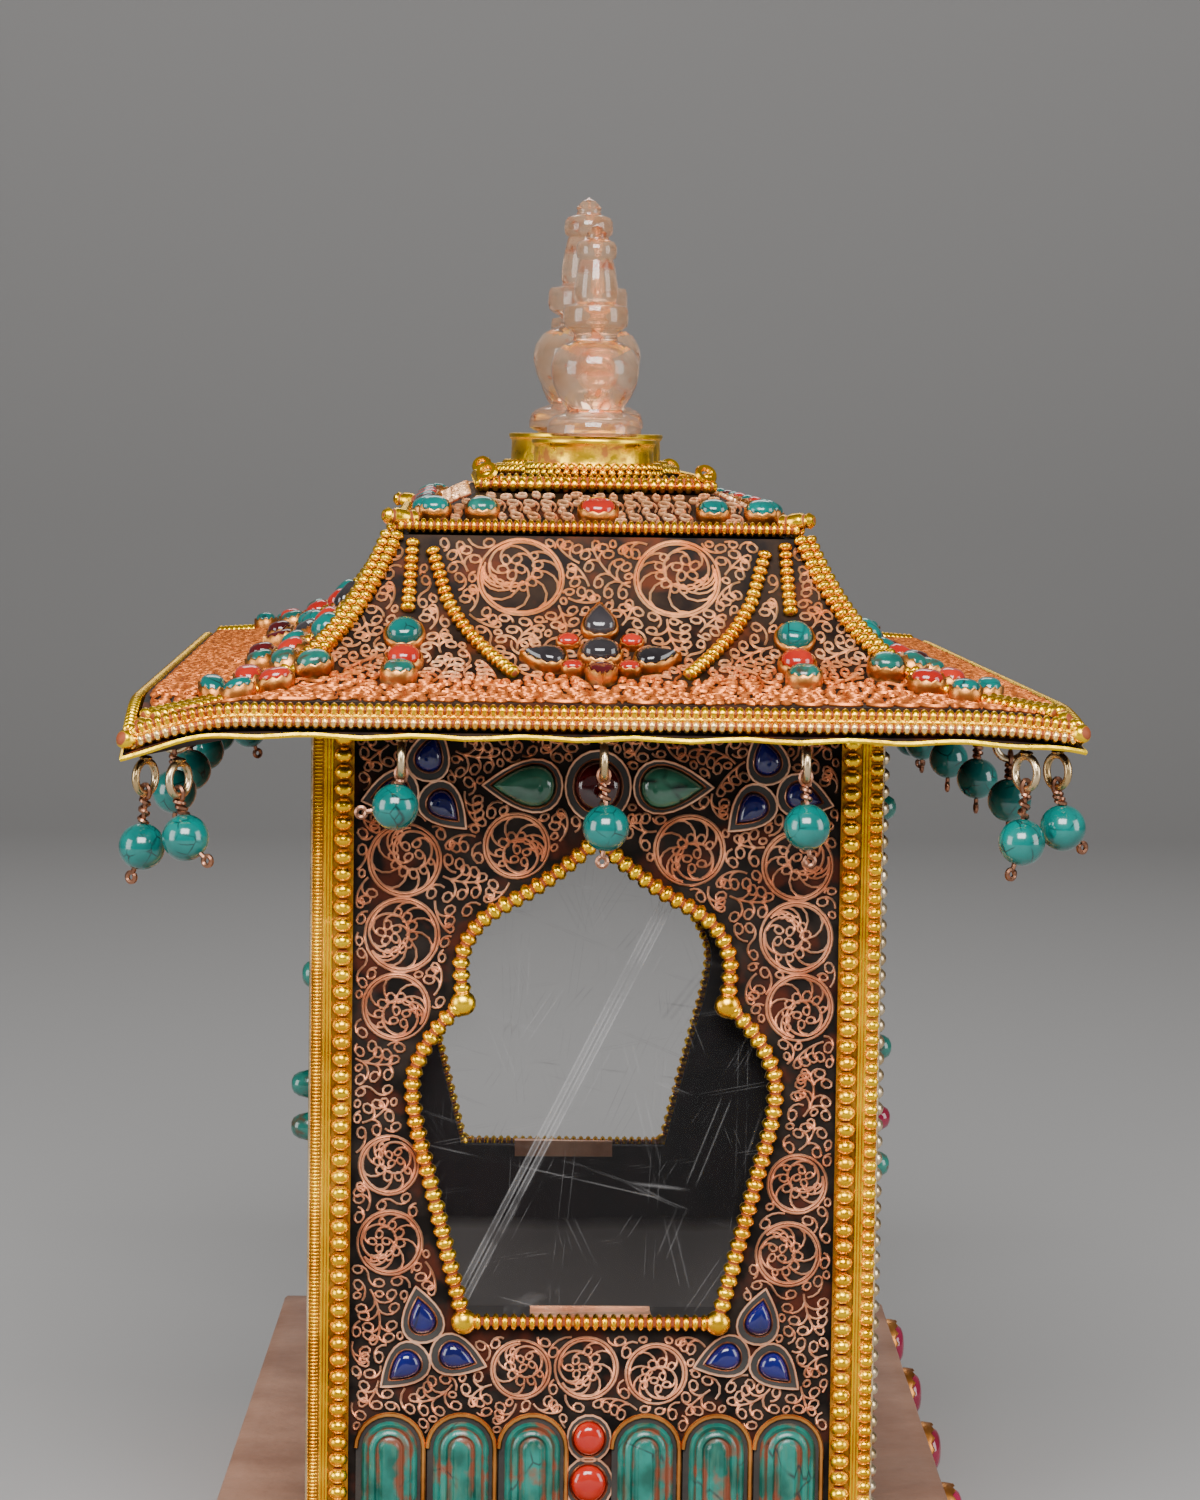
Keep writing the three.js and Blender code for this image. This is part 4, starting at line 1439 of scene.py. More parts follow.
    def fill(self, effort: float = 1.0) -> None:
        """Fills what is free with fronds, scrolls, commas and eyes, the large ones first.

        Args:
            effort: How hard it is tried, as a share of the usual.
        """
        rounds = (~self.full).sum() * self.cell**2 / 1000 * effort
        draw = self.random.uniform
        origin = (0, 0)
        sorts: list[tuple[int, Callable[[float], list[Line]]]] = [
            (90, lambda a: self.frond(a, draw(4.5, 7.0), draw(-1.2, 1.2), 3.2)),
            (110, lambda a: self.frond(a, draw(3.0, 4.4), draw(-1.2, 1.2), 2.7)),
            (90, lambda a: self.frond(a, draw(3.0, 4.8), draw(0.4, 1.2), 2.7, (1,))),
            (90, lambda a: self.frond(a, draw(3.0, 4.8), draw(-1.2, -0.4), 2.7, (-1,))),
            (60, lambda a: self.scroll(a, draw(4.4, 6.0))),
            (180, lambda a: [self.hook(origin, a, draw(2.6, 3.8), draw(0.9, 1.9), 0.48)]),
            (180, lambda a: [self.hook(origin, a, draw(2.2, 3.2), draw(-1.9, -0.9), 0.48)]),
            (300, lambda a: [self.hook(origin, a, draw(1.7, 2.2), draw(1.0, 1.6), 0.44)]),
            (300, lambda a: [self.hook(origin, a, draw(1.3, 1.6), draw(-1.6, 1.6), 0.38)]),
            (300, lambda a: [self.hook(origin, a, 1.0, 1.3, 0.33)]),
        ]
        for number, motif in sorts:
            self.settle(motif, int(number * rounds))

    def shape(
        self, level: float = 0.12, radius: float = 0.135, tall: float = 1.5, side: int = 0
    ) -> Shape:
        """The wires as one shape, taller than they are wide.

        Args:
            level: Height of the wires' middle above the ground.
            radius: The wires' half width.
            tall: Their height as a share of their width.
            side: 0 for all of them, -1 or 1 for those of the left or the right half.

        Returns:
            Their shape, in the field's plane.
        """
        thick = radius * 1.12
        shapes = []
        for lines, size in ((self.hooks, radius), (self.rings, thick)):
            kept = [line for line in lines if side == 0 or (line[0][0] >= 0) == (side > 0)]
            if kept:
                shapes.append(wires(kept, size))
        whole = Shape.joined(shapes)
        relief = np.clip(0.5 + 0.62 * (whole.points[:, 2] / thick), 0, 1)
        points = whole.points * np.array([1, 1, tall]) + UP * level
        return Shape(points, whole.corners, whole.counts, relief)


# Walls


def stood(points: np.ndarray, face: float, facing: Facing) -> np.ndarray:
    """Stands flat points up in a wall's face, Y up and Z outwards, and turns them to its side."""
    return facing.turn(np.column_stack([points[:, 0], -(face + points[:, 2]), points[:, 1]]))


@dataclass(frozen=True)
class WindowSize:
    """Half widths of a window at its sill, its belly and its knee."""

    sill: float
    belly: float
    knee: float


@dataclass
class Wall:
    """One wall of the case with its window, stones, wires and petals."""

    facing: Facing
    finishes: Finishes
    window: WindowSize | None
    rosettes: Sequence[Place] = ()
    side_stones: Sequence[tuple[float, str]] = ()
    seed: int = 1
    wall_height: float = 90.0
    gap: float = 0.3
    bead_rib: float = 2.2
    sill_height: float = 24.0
    belly_rise: float = 28.0
    knee_rise: float = 35.6
    shoulder_rise: float = 4.2
    crown_rise: float = 54.0
    garnet: float = 3.6
    jade_length: float = 8.8
    lapis_length: float = 6.4
    below_top: float = 6.5
    upper_trio: float = 9.3
    lower_trio: float = 10.6
    lower_trio_drop: float = 3.0
    side_stone: float = 2.1
    side_stone_inset: float = 4.7
    side_stone_room: float = 4.4
    petal_width: float = 7.5
    petal_height: float = 12.4
    petal_pitch: float = 7.95
    petal_first: float = 6.3
    petal_grooves: tuple[tuple[float, float, float], ...] = (
        (0.0, -0.3, 0.3), (0.0, 0.75, 0.5), (0.3, 1.15, 1.0), (0.75, 0.85, 0.1), (0.95, 1.2, 0.9),
        (1.4, 1.3, 1.0), (1.7, 0.9, 0.05), (1.95, 0.95, 0.3), (2.35, 1.5, 1.0),
    )
    coral: float = 1.9

    def __post_init__(self) -> None:
        """Reads the wall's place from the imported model."""
        self.title = self.facing.title
        low, high = node_box(f"{self.title}_panel")
        side = 0 if self.facing.narrow else 1
        self.foot, self.top = low[2], high[2]
        self.half = (high[side] - low[side]) / 2
        reach = np.abs(np.array(node_box(f"{self.title}_petals"))[:, 1 - side])
        self.face = reach.min() - self.gap
        self.sill = self.foot + self.sill_height
        self.petal_foot = self.foot + 1.0
        room = self.half - self.bead_rib - self.petal_first - self.petal_width / 2
        number = 1 + int(room // self.petal_pitch)
        row = [self.petal_first + i * self.petal_pitch for i in range(number)]
        self.petal_places = [-x for x in reversed(row)] + row
        self.cups = self.settings()

    def stand(self, points: np.ndarray) -> np.ndarray:
        """Turns points of the wall's plane, with their height off it, into the frame."""
        return stood(points, self.face, self.facing)

    def outline(self, grow: float = 0.0) -> Line:
        """The window's outline, from the sill's right end round to its left end.

        Args:
            grow: How far outside the window it runs.

        Returns:
            Its points.
        """
        size, g = self.window, grow
        knee_level = self.sill + self.knee_rise
        shoulder = knee_level + self.shoulder_rise
        crown = self.sill + self.crown_rise + g * 1.6
        flank = size.sill + (size.belly - size.sill) * 0.72
        start = (size.sill + g, self.sill - g)
        bulge = (size.belly + g - 0.2, self.sill + self.belly_rise)
        waist = (size.knee + g, knee_level)
        neck = (size.knee + g + 0.3, shoulder)
        arch = (size.knee * 0.66 + g, shoulder + 7)
        side_end = (flank + g, self.sill + self.belly_rise * 0.62)
        right = np.vstack(
            [
                np.linspace(start, side_end, 10),
                quadratic(side_end, (size.belly + g + 0.6, self.sill + self.belly_rise * 0.9), bulge),
                quadratic(bulge, (size.belly + g - 1.6, self.sill + self.knee_rise * 0.91), waist),
                [neck],
                quadratic(neck, (size.knee + g, shoulder + 4.6), arch),
                quadratic(arch, (size.knee * 0.3, crown - 4.4), (0.0, crown)),
            ]
        )
        return np.vstack([right, (right[:-1] * np.array([-1, 1]))[::-1]])

    def plate(self) -> None:
        """The sheet of the wall, dark outside and maroon inside, darkened with painted shade, with the clip
        of the pane.
        """
        f, sill = self.finishes, self.sill
        edges = [oblong(-self.half, self.foot, self.half, self.top)]
        edges += [self.outline()] if self.window else []
        sheets = [(edges, -0.8, 0.0, f.ground), (edges, -1.6, -0.8, f.lining)]
        if self.window:
            reach = min(6.7, self.window.sill * 0.6)
            lip = [(-reach, sill - 0.3), (reach, sill - 0.3)]
            lip += [(reach, sill + 0.7), (-reach, sill + 0.5)]
            sheets.append(([oblong(-reach, sill - 1.2, reach, sill + 0.95)], -3.3, -2.9, f.wire))
            sheets.append(([np.array(lip)], -1.8, -0.1, f.wire))
        parts = [(sheet(lines, *levels).moved(self.stand), kind) for lines, *levels, kind in sheets]
        piece_from(f"{self.title}_wall", parts, [f"{self.title}_panel"])

    def settings(self) -> list[tuple[Line, Place, str]]:
        """Where the stones round the window are.

        Returns:
            Outline, place and sort of each stone.
        """
        level = self.top - self.below_top
        inward = 0.0 if self.facing.narrow else self.side_stone_room
        jade = drop(self.jade_length, self.jade_length * 0.66)
        lapis = drop(self.lapis_length, self.lapis_length * 0.72)
        made = [(circle(self.garnet, 24, 1.1), (0.0, level, 0.0), "garnet")]
        for sign in (-1, 1):
            across = sign * (self.garnet + self.jade_length * 0.47)
            made.append((jade, (across, level, -sign * math.pi / 2), "jade"))
            for rise, sort in self.side_stones:
                spot = (sign * (self.half - self.side_stone_inset), rise, 0.0)
                made.append((circle(self.side_stone, 20), spot, sort))
            upper = (sign * (self.half - self.upper_trio - inward), level, sign * 0.25)
            low_level = self.sill - self.lower_trio_drop
            lower = (sign * (self.half - self.lower_trio - inward), low_level, -sign * 0.2)
            for x, y, turn in (upper, lower):
                trio = places_round(x, y, self.lapis_length * 0.52, 3, turn)
                made += [(lapis, spot, "lapis") for spot in trio]
        if not self.window:
            middle = self.foot + self.wall_height * 0.54
            made.append((circle(5.2, 28), (0.0, middle, 0.0), "turquoise"))
            for i, spot in enumerate(places_round(0.0, middle, 12.5, 8)):
                made.append((drop(9.0, 6.0), spot, "coral" if i % 2 else "lapis"))
        return made

    def stones(self) -> None:
        """The stones in their cups."""
        f = self.finishes
        work = StoneWork(f)
        sorts = {
            "garnet": (f.garnet, 0.7, 1.3),
            "jade": (f.jade, 0.78, 1.3),
            "lapis": (f.lapis, 0.62, 1.0),
            "coral": (f.coral, 0.7, 1.2),
            "turquoise": (f.turquoise, 0.78, 1.7),
            "low_turquoise": (f.old_turquoise, 0.8, 2.0),
            "tall_turquoise": (f.old_turquoise, 0.8, 3.1),
            "tall_ruby": (f.ruby, 0.8, 3.1),
        }
        for outline, place, sort in self.cups:
            work.cup(outline, place, *sorts[sort])
        piece_from(f"{self.title}_stones", work.listed(self.stand))

    def wirework(self) -> None:
        """The filigree between the stones, the window and the petals."""
        edge, low = self.half - self.bead_rib + 0.25, self.petal_foot
        limit = 1850 if self.facing.narrow else 2700
        field_ = Filigree((-edge, low), (edge, self.top - 0.2), self.seed, limit=limit)
        if self.window:
            field_.block(self.outline(1.75))
        for outline, place, _ in self.cups:
            field_.block(placed(outline * 1.08, *place))
        petal = self.petal_outline(self.petal_width + 0.5, self.petal_height + 0.3)
        for x in self.petal_places:
            field_.block(placed(petal, x, low))
        field_.block(oblong(-2.4, low, 2.4, low + 12.6))
        for i, (x, y, radius) in enumerate(self.rosettes):
            field_.rosette(x, y, radius, 0.9 + i * 2.1, 1 if x < 0 else -1)
        if not self.rosettes:
            self.scatter(field_)
        field_.fill()
        halves = {"": 0} if self.facing.narrow else {"_left": -1, "_right": 1}
        for word, side in halves.items():
            parts = [(field_.shape(side=side).moved(self.stand), self.finishes.wire)]
            piece_from(f"{self.title}_filigree{word}", parts)

    def scatter(self, field_: Filigree) -> None:
        """Sets rosettes in pairs wherever one fits on a long wall.

        Args:
            field_: The wall's wirework.
        """
        draw = field_.random.uniform
        for radius, tries in ((4.6, 500), (3.9, 700), (3.3, 900)):
            disc = circle(radius + 0.35, 26)
            for _ in range(tries):
                x = draw(2.0, self.half - 6.5)
                y = draw(self.petal_foot + 14, self.top - 4)
                spot = np.array([x, y])
                if x > radius and field_.free(disc + spot) and field_.free(disc * 0.5 + spot):
                    phase = draw(0, math.tau)
                    field_.rosette(x, y, radius, phase, -1)
                    field_.rosette(-x, y, radius, math.pi - phase, 1)

    @staticmethod
    def petal_outline(width: float, height: float) -> Line:
        """An upright petal with a round head, drawn from its foot.

        Args:
            width: Its width.
            height: Its height.

        Returns:
            Its points, four along its foot and then the head from the right.
        """
        radius = width / 2
        angle = np.linspace(0, math.pi, 14)
        head = np.column_stack([radius * np.cos(angle), height - radius + radius * np.sin(angle)])
        foot = [(-radius, 0.0), (-radius * 0.2, 0.0), (radius * 0.2, 0.0), (radius, 0.0)]
        return np.vstack([foot, head])

    def petal(self) -> Shape:
        """One petal of stone, cut in grooves that follow its outline.

        Returns:
            Its shape.
        """
        width, height = self.petal_width - 1.3, self.petal_height - 1.3
        insets, levels, shades = zip(*self.petal_grooves)
        outlines = [self.petal_outline(width - 2 * inset, height - inset) for inset in insets]
        rings = [at_level(outline, level) for outline, level in zip(outlines, levels)]
        return lidded(rings, (0, height * 0.45, 1.55), shades)

    def petal_row(self) -> None:
        """The petals in their copper rims, with two corals in the middle."""
        f, low = self.finishes, self.petal_foot
        stone = self.petal()
        outline = self.petal_outline(self.petal_width, self.petal_height)
        petals = [set_at(stone, x, low + 0.5) for x in self.petal_places]
        rims = [at_level(placed(outline[3:], x, low), 0.75) for x in self.petal_places]
        backs = [sheet([placed(outline, x, low)], 0.3, 0.6) for x in self.petal_places]
        reach = self.petal_places[-1] + self.petal_width / 2
        strip = oblong(-reach, low, reach, low + 0.5)
        work = StoneWork(f)
        first = low + self.petal_height * 0.37
        for level, size in ((first, 1.12), (first + 2.7 * self.coral, 1.0)):
            outline = circle(self.coral * 1.28 * size, 18, 1.08)
            work.cup(outline, (0.0, level), f.coral, 0.72, 1.2)
        upright = wires(rims, 0.28, sides=1)
        upright.relief[:] = np.clip((upright.points[:, 2] - 0.5) / 0.5, 0, 1)
        shapes = (Shape.joined(petals), upright, Shape.joined(backs), sheet([strip], 0.3, 1.3))
        kinds = (f.petal, f.rim, f.solder, f.rim)
        parts = [(shape.moved(self.stand), kind) for shape, kind in zip(shapes, kinds)]
        parts += work.listed(self.stand)
        piece_from(f"{self.title}_petal_row", parts, [f"{self.title}_petals"])

    def window_beads(self) -> None:
        """The beaded frame of the window, with a knob at the knees and at the sill's ends."""
        line = self.outline()
        sides = at_level(np.vstack([line, line[:1]]), 1.0)
        bead = ball((0.74, 1.05, 1.05), 10, 7)
        disc = ball((0.46, 0.98, 0.98), 10, 6)
        knob = ball((1.45, 1.45, 1.25), 14, 10, bead=False).moved(lambda p: p + UP * 1.05)
        rows = [beaded(bead, sides[:-1], UP, 1.4), beaded(disc, sides[-2:], UP, 1.02)]
        rows.append(wires([sides], 0.62, sides=1).shaded(0.1))
        for reach, rise in ((self.window.knee, self.knee_rise), (self.window.sill, 0.0)):
            rows += [set_at(knob, sign * reach, self.sill + rise) for sign in (-1, 1)]
        parts = [(Shape.joined(rows).moved(self.stand), self.finishes.gilt)]
        piece_from(f"{self.title}_window_beads", parts, [f"{self.title}_window_frame"])
        coat(f"{self.title}_pane", self.finishes.pane)

    def build(self) -> None:
        """Builds the whole wall."""
        self.plate()
        self.stones()
        self.wirework()
        self.petal_row()
        if self.window:
            self.window_beads()


@dataclass
class CornerPost:
    """One corner post with its drawn strips and its columns of beads."""

    title: str
    sign_x: int
    sign_y: int
    finishes: Finishes
    width: float = 2.5
    set_back: float = 1.2
    gap: float = 0.3
    bead_radius: float = 1.1
    bead_pitch: float = 1.86
    sheet_thickness: float = 0.35

    def __post_init__(self) -> None:
        """Reads the post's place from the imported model."""
        low, high = node_box(f"corner_post_{self.title}")
        self.foot, self.top = low[2], high[2]
        self.half_x = abs(node_box("corner_post_near_back")[0][0])
        self.half_y = abs(node_box("corner_post_near_back")[0][1])

    def place(self, points: np.ndarray) -> np.ndarray:
        """Mirrors points drawn for the corner at +X, +Y."""
        return points * np.array([self.sign_x, self.sign_y, 1])

    def upright(self, x: float, y: float, spare: float = 0.0) -> Line:
        """A line from the post's foot to its top, short of each by a spare."""
        return np.array([(x, y, self.foot + spare), (x, y, self.top - spare)])

    def build(self) -> None:
        """Builds the post."""
        f, x, y = self.finishes, self.half_x, self.half_y
        thick, radius, pitch = self.sheet_thickness, self.bead_radius, self.bead_pitch
        inner_x, inner_y = x - self.width, y - self.width
        seat_x, seat_y = x - self.set_back + self.gap, y - self.set_back + self.gap
        lip_x, lip_y = inner_x - 2 * radius, inner_y - 2 * radius
        section = [
            (inner_x, inner_y), (inner_x, seat_y), (lip_x, seat_y), (lip_x, seat_y + thick),
            (inner_x, seat_y + thick), (inner_x, y - thick), (x - 0.2, y - thick), (x - 0.2, inner_y),
            (seat_x + thick, inner_y), (seat_x + thick, lip_y), (seat_x, lip_y), (seat_x, inner_y),
        ]
        bead = ball((0.95, 1.1, 1.1), 10, 7)
        small = ball((0.78, 0.95, 0.95), 10, 7)
        rib = ball((0.2, 0.62, 0.34), 8, 5)
        outward_x, outward_y = (1, 0, 0), (0, 1, 0)
        gilt = [beaded(bead, self.upright(lip_x + radius, seat_y + 0.75, 0.2), outward_y, pitch)]
        worn = []
        if self.sign_x > 0:
            gilt.append(beaded(small, self.upright(x - 0.85, y - 0.55, 0.2), outward_y, 1.58))
            line = self.upright(seat_x + 0.75, inner_y - radius, 0.2)
            worn.append(beaded(bead, line, outward_x, pitch))
        else:
            gilt.append(beaded(rib, self.upright(x - 0.8, y - 0.5, 0.2), outward_y, 0.4))
        gilt.append(beaded(rib, self.upright(x - 0.35, inner_y + 0.9, 0.2), outward_x, 0.4))
        strips = [self.upright(inner_x + 0.2 + step, y - 0.3) for step in (0.0, 0.35, 0.7)]
        edge = wires([self.upright(x - 0.12, y - 0.2)], 0.15, sides=1)
        parts = [
            (sheet([np.array(section)], self.foot, self.top), f.old_gilt),
            (Shape.joined(gilt), f.gilt),
            (wires(strips, 0.17, sides=1), f.gilt_plain),
            (Shape.joined([edge, *worn]), f.silver),
        ]
        parts = [(shape.moved(self.place), kind) for shape, kind in parts]
        if self.sign_x * self.sign_y < 0:
            parts = [(shape.mirrored_back(), kind) for shape, kind in parts]
        piece_from(f"corner_strip_{self.title}", parts, [f"corner_post_{self.title}"])


# Plinth


@dataclass
class Plinth:
    """The stepped copper plinth with its drawn wires and, but for the back, its ruby studs."""

    finishes: Finishes
    width: float = 83.0
    length: float = 136.0
    foot_height: float = 3.0
    foot_reach: float = 1.4
    rim_height: float = 1.6
    rim_reach: float = 0.8
    turn: float = math.radians(-1.8)
    shift: float = 1.4
    ruby: float = 3.0
    ruby_level: float = 13.0

    def place(self, points: np.ndarray) -> np.ndarray:
        """Turns and shifts points drawn square to the frame."""
        return np.column_stack([placed(points[:, :2], self.shift, 0.0, self.turn), points[:, 2]])

    def ring(self, grow: float, z: float) -> np.ndarray:
        """A rectangle round the plinth, a little uneven as beaten sheet is.

        Args:
            grow: How far outside the plinth's body it runs.
            z: Its level.

        Returns:
            Its points.
        """
        shares = np.linspace(0, 1, 16, endpoint=False)
        points = edges_walked(self.width / 2 + grow, self.length / 2 + grow, shares)
        wave = 0.12 * np.sin(points[:, 0] * 0.31 + z) * np.cos(points[:, 1] * 0.23)
        return at_level(points * (1 + wave[:, None] / self.length), z)

    def build(self) -> None:
        """Builds the plinth."""
        height = node_box("plinth")[1][2]
        foot, foot_reach, reach = self.foot_height, self.foot_reach, self.rim_reach
        rim = height - self.rim_height
        steps = [
            (foot_reach - 0.3, 0.0), (foot_reach, 0.3), (foot_reach, foot - 0.5),
            (foot_reach - 0.5, foot), (0.1, foot), (0.0, foot + 0.4), (-0.15, height / 2),
            (0.0, rim - 0.3), (0.1, rim), (reach - 0.3, rim), (reach, rim + 0.4),
            (reach, height - 0.4), (reach - 0.4, height), (-1.5, height),
        ]
        body = closed_body([self.ring(grow, z) for grow, z in steps], 0.0, height)
        drawn = [self.ring(0.28, z) for z in (rim - 0.35, foot + 0.3, foot + 1.0)]
        wire = wires(drawn, 0.3, closed=True, sides=1)
        work = StoneWork(self.finishes)
        outline = circle(self.ruby * 1.14, 26)
        for facing in (Facing.NEAR_END, Facing.FRONT, Facing.FAR_END):
            face = (self.length if facing.narrow else self.width) / 2
            pitch, number = (26.0, 3) if facing.narrow else (30.0, 5)
            side = StoneWork(self.finishes)
            for i in range(number):
                spot = ((i - (number - 1) / 2) * pitch, self.ruby_level)
                side.toothed(outline, spot, self.finishes.ruby, 1.7, 2.2)
            work.add_all(side, lambda p: stood(p, face, facing))
        parts = [(Shape.joined([body, wire]).moved(self.place), self.finishes.plinth)]
        piece_from("copper_plinth", parts + work.listed(self.place), ["plinth"])


# Roof


@dataclass
class Roof:
    """The concave hipped roof, its beaded trims, the raised band and the frames."""

    finishes: Finishes
    half_x: float = 51.0
    half_y: float = 77.0
    case_half_x: float = 31.5
    case_half_y: float = 58.0
    frame_half_x: float = 23.1
    frame_half_y: float = 49.1
    ridge_half_x: float = 13.8
    ridge_half_y: float = 39.8
    gap: float = 0.3
    trim_width: float = 1.6
    trim_height: float = 3.1
    run: float = 26.2
    rise: float = 17.0
    soffit: float = 107.6
    plate: float = 0.5
    wall: float = 1.5
    bearing: float = 4.2
    droop: float = 0.9
    near_left_droop: float = 2.6
    droop_reach: float = 13.0
    frame_bar: float = 1.5
    ridge_bar: float = 1.6
    upper_run: float = 9.1
    upper_rise: float = 4.3
    stone: float = 1.9
    swirl: float = 4.75

    def __post_init__(self) -> None:
        """Works out the levels and the length of the slope."""
        self.slope_x = self.half_x - self.trim_width - self.gap
        self.slope_y = self.half_y - self.trim_width - self.gap
        self.foot = self.soffit + self.plate + self.trim_height
        self.deck = self.foot + self.rise
        self.insets = np.linspace(0, self.run, 200)
        steps = np.hypot(np.diff(self.insets), np.diff(self.height_at(self.insets)))
        self.walked = np.concatenate([[0], np.cumsum(steps)])
        self.slope = float(self.walked[-1])

    def half_of(self, facing: Facing) -> float:
        """Half the length of a slope's foot."""
        return self.slope_x if facing.narrow else self.slope_y

    def column_of(self, facing: Facing) -> float:
        """How far from its middle a slope's columns of stones stand."""
        return self.half_of(facing) - self.run - 1.4

    def height_at(self, inset: np.ndarray) -> np.ndarray:
        """Level of the slope at an inset from its foot."""
        share = inset / self.run
        return self.foot + self.rise * (0.12 * share + 0.88 * share**4)

    def up_from(self, inset: float) -> float:
        """Distance walked up the slope to an inset."""
        return float(np.interp(inset, self.insets, self.walked))

    def drooped(
        self,
        points: np.ndarray,
        half_x: float | np.ndarray,
        half_y: float | np.ndarray,
        share: float | np.ndarray,
    ) -> np.ndarray:
        """Lowers points near the corners of the eaves.

        Args:
            points: The points.
            half_x: Half width of the rectangle that each lies on.
            half_y: Half length of that rectangle.
            share: Share of the droop that each gets.

        Returns:
            The lowered points.
        """
        x, y = points[:, 0], points[:, 1]
        away = np.hypot(half_x - np.abs(x), half_y - np.abs(y))
        amount = np.where((x < 0) & (y < 0), self.near_left_droop, self.droop)
        fall = amount * np.clip(1 - away / self.droop_reach, 0, 1) ** 2 * share
        return points - fall[:, None] * UP

    def laid(self, points: np.ndarray, facing: Facing) -> np.ndarray:
        """Lays a flat field on a slope: X along the eave, Y walked up from its foot.

        Args:
            points: The field's points.
            facing: The slope.

        Returns:
            The points on the slope.
        """
        half = self.slope_y if facing.narrow else self.slope_x
        along, up, lift = points.T
        inset = np.interp(up, self.walked, self.insets)
        inset += np.minimum(up, 0) + np.maximum(up - self.slope, 0)
        share = np.clip(inset / self.run, 0, 1)
        tilt = np.arctan(self.rise / self.run * (0.12 + 3.52 * share**3))
        level = self.height_at(np.clip(inset, 0, self.run)) + lift * np.cos(tilt)
        upright = np.column_stack([along, inset - half - lift * np.sin(tilt), level])
        half_x, half_y = self.slope_x - inset, self.slope_y - inset
        return self.drooped(facing.turn(upright), half_x, half_y, 1 - share)

    def rectangle(
        self, half_x: float, half_y: float, z: float, share: float = 1.0, number: int = 22
    ) -> np.ndarray:
        """A ring of points round a rectangle, closer together at its corners.

        Args:
            half_x: Its half width.
            half_y: Its half length.
            z: Its level.
            share: Share of the corners' droop that it gets.
            number: Points on each of its edges.

        Returns:
            The points.
        """
        even = np.linspace(0, 1, number, endpoint=False)
        eased = even - np.sin(even * math.tau) / math.tau * 0.8
        return self.drooped(at_level(edges_walked(half_x, half_y, eased), z), half_x, half_y, share)

    def inset_ring(self, inset: float, z: float, share: float = 0.0) -> np.ndarray:
        """A ring inside the slopes' foot, at a level and with a share of the corners' droop."""
        return self.rectangle(self.slope_x - inset, self.slope_y - inset, z, share)

    def shell(self) -> None:
        """The sheet of the lower roof, hollow inside."""
        open_x, open_y = self.case_half_x - self.bearing, self.case_half_y - self.bearing
        plate_x, plate_y = self.half_x - self.gap, self.half_y - self.gap
        ceiling, top, inward = self.soffit + self.wall, self.soffit + self.plate, self.wall * 1.5
        rings = [
            self.inset_ring(share * self.run + inward, self.height_at(share * self.run) - self.wall)
            for share in (0.85, 0.66, 0.4)
        ]
        rings += [
            self.inset_ring(0.4 * self.run + inward, ceiling),
            self.rectangle(open_x, open_y, ceiling, 0),
            self.rectangle(open_x, open_y, self.soffit, 0),
            self.rectangle(self.case_half_x + 1, self.case_half_y + 1, self.soffit, 0),
            self.rectangle(plate_x, plate_y, self.soffit),
            self.rectangle(plate_x, plate_y, top),
            self.rectangle(self.slope_x, self.slope_y, top),
        ]
        for share in np.linspace(0, 1, 22):
            inset = share * self.run
            rings.append(self.inset_ring(inset, self.height_at(inset), 1 - share))
        body = closed_body(rings, rings[0][0][2], self.deck)
        strip = self.rectangle(plate_x + 0.1, plate_y + 0.1, self.soffit + 0.1, number=60)
        strip[:, 2] += 0.16 * np.sin(strip[:, 0] * 0.55 + strip[:, 1] * 0.41)
        edge = wires([strip], 0.3, closed=True, sides=1)
        parts = [(body, self.finishes.roof_ground), (edge, self.finishes.gilt_plain)]
        piece_from("roof_shell", parts, ["lower_roof"])

    def eave_beads(self) -> None:
        """The two rows of beads round the eaves, with a knob at each corner."""
        bead = ball((0.5, 0.76, 0.76), 9, 6)
        rows, worn = [], []
        for level, inward, kept in ((1.5, 0.82, worn), (2.86, 0.92, rows)):
            half_x, half_y = self.half_x - inward, self.half_y - inward
            line = self.rectangle(half_x, half_y, self.soffit + level, number=60)
            kept.append(beaded(bead, line, UP, 0.93, closed=True))
            rows.append(wires([line], 0.46, closed=True, sides=1).shaded(0.05))
        middle = self.rectangle(self.half_x - 1.2, self.half_y - 1.2, self.soffit + 2.2, number=60)
        rows.append(wires([middle], 0.6, closed=True, sides=1))
        profile = [
            (0, -1.5), (0.7, -1.45), (1.05, -1.0), (0.75, -0.45), (1.1, 0.0), (1.0, 0.9), (0.5, 1.3),
            (0, 1.35),
        ]
        knob = turned(profile, 12)
        for sign_x, sign_y in CORNERS:
            fall = self.near_left_droop if sign_x < 0 and sign_y < 0 else self.droop
            out = Matrix.Rotation(math.atan2(sign_y, sign_x), 3, "Z")
            lean = out @ Matrix.Rotation(math.radians(75), 3, "Y")
            for lift, inward in ((2.0, 0.9), (3.2, 2.5)):
                spot = (sign_x * (self.half_x - inward), sign_y * (self.half_y - inward))
                rows.append(knob.at(lean, (*spot, self.soffit + lift - fall)))
        parts = [
            (Shape.joined(rows), self.finishes.gilt),
            (Shape.joined(worn), self.finishes.worn_gilt),
        ]
        piece_from("eave_beads", parts, ["eave_trim"])

